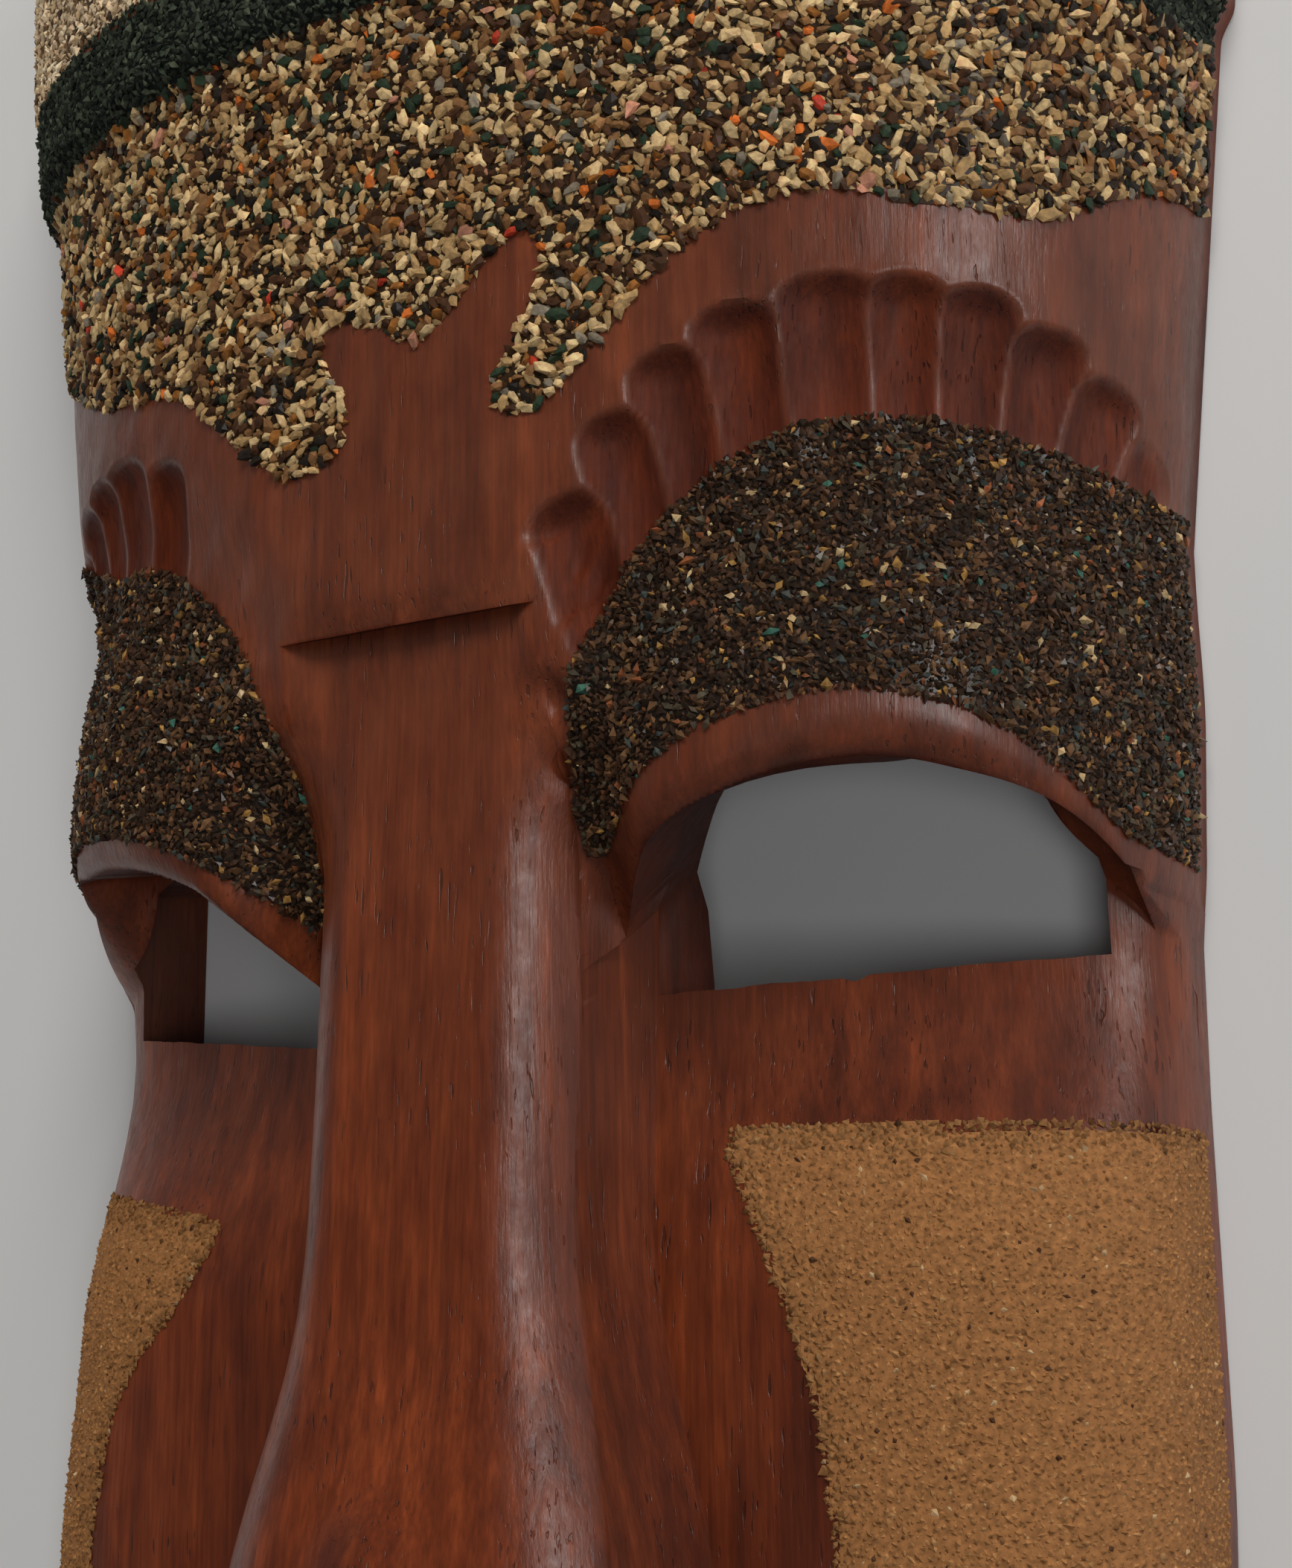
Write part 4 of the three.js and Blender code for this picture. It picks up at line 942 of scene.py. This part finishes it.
def assemble(name, batches, under, under_faces, glue_and_shade_tint, material):
    """One mesh of loose lumps and the glue below them, each lump with its own patch of the layout."""
    count = sum(len(lump) for lump, _, _ in batches)
    across = math.ceil(math.sqrt(count / GRAIN_SHARE))
    squash = [1, GRAIN_SHARE * across / math.ceil(GRAIN_SHARE * across)]
    points, triangles, shades, layout = [], [], [], []
    done, first = 0, 0
    for lump, faces, tint in batches:
        size = lump.shape[1]
        n = np.arange(len(lump))
        cell = np.stack(np.divmod(done + n, across)[::-1], -1) / across
        turn = np.linspace(0, 2 * math.pi, size, endpoint=False)
        star = np.stack([np.cos(turn), np.sin(turn)], -1) * 0.4 + 0.5
        points.append(lump.reshape(-1, 3))
        triangles.append((faces[None] + first + size * n[:, None, None]).reshape(-1, 3))
        shades.append(np.repeat(tint, size, axis=0))
        layout.append((cell[:, None] + star[None] / across).reshape(-1, 2) * squash)
        done += len(lump)
        first += len(lump) * size
    v = to_frame(np.concatenate([*points, under])) * MM
    tri = np.concatenate(triangles)
    quad = under_faces + first
    mesh = bpy.data.meshes.new(name)
    mesh.vertices.add(len(v))
    mesh.vertices.foreach_set("co", v.ravel())
    loops = np.concatenate([tri.ravel(), quad.ravel()])
    mesh.loops.add(len(loops))
    mesh.loops.foreach_set("vertex_index", loops)
    starts = np.concatenate([np.arange(len(tri)) * 3, len(tri) * 3 + np.arange(len(quad)) * 4])
    mesh.polygons.add(len(starts))
    mesh.polygons.foreach_set("loop_start", starts)
    mesh.polygons.foreach_set("use_smooth", np.arange(len(starts)) >= len(tri))
    mesh.update(calc_edges=True)
    tint = mesh.attributes.new("tint", "FLOAT_COLOR", "POINT")
    shade = np.ones((len(v), 4))
    shade[:first, :3] = np.concatenate(shades)
    shade[first:, :3] = glue_and_shade_tint
    tint.data.foreach_set("color", shade.ravel())
    flat_uv = (under[:, :2] - under[:, :2].min(0)) / np.maximum(1e-6, np.ptp(under[:, :2], axis=0))
    uv = np.concatenate([*layout, flat_uv * [1, GLUE_HIGH] + [0, GLUE_FROM]])
    mesh.uv_layers.new(name="OFBake").data.foreach_set("uv", uv[loops].ravel())
    mesh.materials.append(material)
    return placed(name, mesh)


def palette(count, rng, shades, spread):
    """Colours of grains, drawn by weight from shades of (r, g, b, weight)."""
    weights = np.array([s[3] for s in shades])
    pick = rng.choice(len(shades), count, p=weights / weights.sum())
    tint = np.array([colour(*s[:3]) for s in shades])[pick]
    return np.clip(tint * np.exp(rng.normal(0, spread, (count, 1))), 0, 1)


# Points tried for each square of one gap's width
TRIES = 7.0


def glued(name, node, surface, within, gap, size, shades, glue_and_shade_tint, material, seed,
          form=OCTAHEDRON, length=(0.9, 1.7), flatness=(0.45, 0.85), tilt=0.28, lift=0.22,
          fill=0.72, edge=(0.0, 1.0, 1.0), spread=0.16):
    """A layer of grit: large grains first, then smaller ones lower down between them.

    edge holds the reach of the ragged edge and how much larger and darker its grains are.
    """
    rng = np.random.default_rng(seed)
    grid, normals = surface
    areas = cell_areas(grid, within)
    total = float(np.sum(areas))
    batches = []
    for step, low, high, rise, shape in ((1.0, 0.85, 1.35, lift, form),
                                         (fill, 0.55, 0.85, lift * 0.6, OCTAHEDRON)):
        space = gap * step
        p, n = sampled(grid, normals, areas, within, int(TRIES * total / space ** 2), rng)
        keep = spaced(p, space)
        p, n = p[keep], n[keep]
        grain_size = size * rng.uniform(low, high, len(p))
        tint = palette(len(p), rng, shades, spread)
        reach, larger, darker = edge
        if reach:
            outer = ~within(p[:, :2] + rng.normal(0, 1, (2, len(p))).T, -reach)
            grain_size[outer] *= larger
            tint[outer] *= darker
        lumps = grains(p, n, grain_size, rng, shape, length, flatness, tilt, rise)
        batches.append((lumps, shape[1], tint))
    under, under_faces = skin(grid, normals, within, 0.12 * size)
    obj = assemble(name, batches, under, under_faces, colour(*glue_and_shade_tint), material)
    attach(obj, "root")
    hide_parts(node)


# Edges of the layers, as seen from the front
FOREHEAD_EDGE = [
    (-85, 92), (-68, 85), (-55, 75), (-44, 69), (-33, 66.6), (-26, 62.6), (-20, 56.5), (-13, 52),
    (-7, 53.4), (-6, 58), (-9, 64), (-8, 67.4), (-3, 66), (2, 63.2), (6, 66), (10.5, 71), (14.2, 73),
    (16, 70), (13.5, 62.5), (10.6, 57), (12.5, 54), (16, 54.6), (19.5, 58), (26, 65.6), (31, 70),
    (36.5, 73.2), (43, 74.2), (52, 73), (60, 73), (66, 78), (85, 92),
]
RIGHT_SAND_EDGE = [(23.4, -12.8), (23.4, -16), (26.4, -22.6), (29, -29.7), (31.5, -37.3),
                   (32.6, -45), (33.4, -53), (33, -66), (30, -84), (31, -98)]
LEFT_SAND_EDGE = [(-35.6, -18), (-37.7, -22.5), (-41.7, -28), (-45.8, -32), (-49, -37), (-50.3, -43.6),
                  (-51, -52.3), (-49, -66), (-44, -84), (-42, -98)]
# Ends of the outlines: past the sides, below the cheeks and over the crown
OUT, SAND_END_Y, CROWN_SAND_END = 90, -98, 60.5


def across_forehead(above):
    """Line at a distance above the lower edge of the green band."""
    xs = np.linspace(-OUT, OUT, 61)
    return np.stack([xs, band_low(xs) + above], -1)


def strip(start, end):
    """Outline between two such lines."""
    return [*across_forehead(start), *across_forehead(end)[::-1]]


def lid_outline(side):
    """Outline of the grit on one lid, from its ring down to the rim of the hood."""
    ring = LEFT_RING if side < 0 else RIGHT_RING
    t = np.linspace(0.2, math.pi - 0.12, 60)
    outwards = np.cos(t) * np.where(np.cos(t) < 0, ring["inner"], ring["outer"])
    level = (side < 0) & (outwards > 0)
    risen = np.where(level, ring["up"] + ring["slope"] * outwards, ring["up"] * np.sin(t))
    x, y = EYE_X + outwards, EYE_Y + risen
    a = np.linspace(GRIT_INNER_END + 0.6, 66, 50)
    low = hood_curve(a * side) + ring["rim"] - ring["narrowing"] * smooth(50, 66, a)
    low = np.maximum(low, ring["low"])
    outline = np.stack([chain(np.maximum(x, GRIT_INNER_END), a, OUT), chain(y, low, low[-1])], -1)
    return outline * [side, 1]


def sand_outline(edge, side, top):
    """Outline of the sand on one cheek, out past the edge of the mask."""
    return [*curve(edge, 40), (OUT * side, SAND_END_Y), (OUT * side, top)]


# Shades of the grains and their shares
PALE = [(190, 163, 118, 0.25), (158, 128, 86, 0.22), (118, 84, 52, 0.15), (68, 44, 28, 0.16),
        (34, 28, 23, 0.12), (40, 52, 38, 0.07), (118, 108, 92, 0.03), (134, 86, 40, 0.04),
        (190, 100, 42, 0.008), (168, 56, 36, 0.003), (170, 118, 94, 0.008)]
DARK = [(44, 31, 22, 0.36), (66, 45, 31, 0.28), (93, 66, 43, 0.20), (70, 62, 48, 0.08),
        (60, 64, 60, 0.03), (184, 158, 116, 0.018), (152, 114, 62, 0.025), (58, 96, 82, 0.005),
        (122, 72, 44, 0.02)]
GREEN = [(49, 55, 45, 0.5), (34, 38, 32, 0.3), (72, 77, 62, 0.2)]
TAN = [(154, 109, 67, 0.5), (146, 102, 61, 0.34), (164, 121, 77, 0.1), (120, 83, 50, 0.04),
       (184, 154, 114, 0.012), (80, 54, 36, 0.012)]
CROWN = [(202, 180, 148, 0.4), (182, 157, 122, 0.3), (214, 198, 168, 0.16), (108, 84, 60, 0.1),
         (70, 56, 46, 0.04)]

front = dome_grid()
carved = carve(front)
face_floor, face_roof = face_space()
ripple = 0.14 * waviness(face_floor, 22, 7) + 0.06 * waviness(face_floor, 8, 8)
face_floor[..., 2] += np.where(face_floor[..., 2] > 4, ripple, 0.0) - knife_marks(face_floor)

body = wood_body(carved, face_floor, face_roof)
body.data.materials.clear()  # the cuts leave an empty slot
body.data.materials.append(wood_material())
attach(body, "root")
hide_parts("mask_body")

upper = (carved, grid_normals(carved))
cheeks = face_floor[1:, 1:-1]
lower = (cheeks, grid_normals(cheeks))
coarse = grit_material("coarse_grit", 0.68, 0.1)
dark = grit_material("dark_grit", 0.7, 0.35)
fine = grit_material("fine_sand", 0.82)
forehead = region([*curve(FOREHEAD_EDGE, 120), *across_forehead(0)[::-1]])
# The dark glue tints under the forehead, lid and band grains also stand in as painted shade between the
# grains.
glued("forehead_chips", "forehead_grit", upper, forehead, 0.9, 1.22,
      PALE, (48, 33, 20), coarse, 21, form=ICOSAHEDRON)
for label, side in (("right", 1), ("left", -1)):
    glued("lid_chips_" + label, "eyelid_grit_" + label, upper, region(lid_outline(side)),
          0.58, 0.82, DARK, (30, 22, 17), dark, 30 + side, flatness=(0.6, 1.1), tilt=0.45, lift=0.3)
glued("band_grains", "forehead_band", upper, region(strip(0, BAND_WIDTH)),
      0.75, 0.95, GREEN, (24, 28, 26), fine, 41)
glued("crown_grains", "crown_sand", upper, region(strip(BAND_WIDTH, CROWN_SAND_END)),
      0.8, 1.0, CROWN, (120, 100, 76), fine, 42, fill=0.9)
for label, side, edge, top in (("right", 1, RIGHT_SAND_EDGE, -14), ("left", -1, LEFT_SAND_EDGE, -5.7)):
    cheek = region(sand_outline(edge, side, top))
    glued("cheek_grains_" + label, "cheek_sand_" + label, lower, cheek, 0.58, 0.66,
          TAN, (146, 100, 60), fine, 50 + side, length=(0.85, 1.25), tilt=0.14, lift=0.08,
          fill=0.9, edge=(2.2, 1.25, 0.75), spread=0.06)


# Camera and lights, in metres. The camera's focal length and axis are in pixels of the photograph.
PHOTO_WIDTH, PHOTO_HEIGHT, FOCAL_LENGTH = 1736, 2107, 4160
AXIS_X, AXIS_Y = 697, 850
CAMERA_AT, CAMERA_FORWARD = (0.155149, -0.072627, 0.288391), (-0.48484, 0.29571, -0.82310)
SENSOR_WIDTH, CLIP_START = 36.0, 0.01
# Area lights: name, place, size, watts and colour. Only the key leaves highlights.
LIGHTS = [
    ("overhead", (0.24, 0.52, 0.54), (0.35, 0.3), 3.7, (1, 0.97, 0.93)),
    ("left", (-0.72, 0.28, 0.36), (0.4, 0.5), 2.3, (1, 0.98, 0.96)),
    ("front", (0.35, -0.21, 0.6), (0.2, 0.2), 1.2, (1, 1, 1)),
    ("key", (0.7, 0.23, 0.38), (0.14, 0.3), 1.65, (1, 0.98, 0.96)),
]
LIT_POINT = (0, 0.02, 0.03)
WORLD_GREY, WORLD_STRENGTH = 0.85, 0.09
# The floor, in millimetres, lies just below the lowest grains
FLOOR_HALF, FLOOR_Z, FLOOR_GREY, FLOOR_ROUGH = 3000, -0.4, 0.6, 0.8


def looking(position, forward):
    """Placement that looks along a direction, with y upwards."""
    forward = Vector(forward).normalized()
    right = forward.cross(Vector((0, 1, 0))).normalized()
    up = right.cross(forward)
    m = Matrix((right, up, -forward)).transposed().to_4x4()
    m.translation = Vector(position)
    return m


def make_camera():
    data = bpy.data.cameras.new("camera")
    camera = placed("camera", data)
    camera.matrix_world = looking(CAMERA_AT, CAMERA_FORWARD)
    data.sensor_width = SENSOR_WIDTH
    data.lens = FOCAL_LENGTH / PHOTO_HEIGHT * SENSOR_WIDTH
    data.shift_x = (PHOTO_WIDTH / 2 - AXIS_X) / PHOTO_HEIGHT
    data.shift_y = (AXIS_Y - PHOTO_HEIGHT / 2) / PHOTO_HEIGHT
    data.clip_start = CLIP_START
    bpy.context.scene.camera = camera


def area_light(name, position, size, watts, color):
    data = bpy.data.lights.new(name, "AREA")
    data.shape = "RECTANGLE"
    data.size, data.size_y = size
    data.energy = watts
    data.color = color
    light = placed(name, data)
    light.matrix_world = looking(position, Vector(LIT_POINT) - Vector(position))
    light.visible_glossy = name == "key"


make_camera()
for row in LIGHTS:
    area_light(*row)
world = bpy.data.worlds.new("studio")
bpy.context.scene.world = world
world.use_nodes = True
background = world.node_tree.nodes["Background"]
background.inputs["Color"].default_value = (WORLD_GREY, WORLD_GREY, WORLD_GREY, 1)
background.inputs["Strength"].default_value = WORLD_STRENGTH
bpy.context.scene.view_settings.view_transform = "Standard"

sheet = np.array([(-1, -1, 1), (1, -1, 1), (1, 1, 1), (-1, 1, 1)]) * [FLOOR_HALF, FLOOR_HALF, FLOOR_Z]
floor = mesh_object("floor", sheet, [(0, 1, 2, 3)])
paper = Shader("floor")
paper.set(Base_Color=[FLOOR_GREY] * 3, Roughness=FLOOR_ROUGH)
floor.data.materials.append(paper.material)
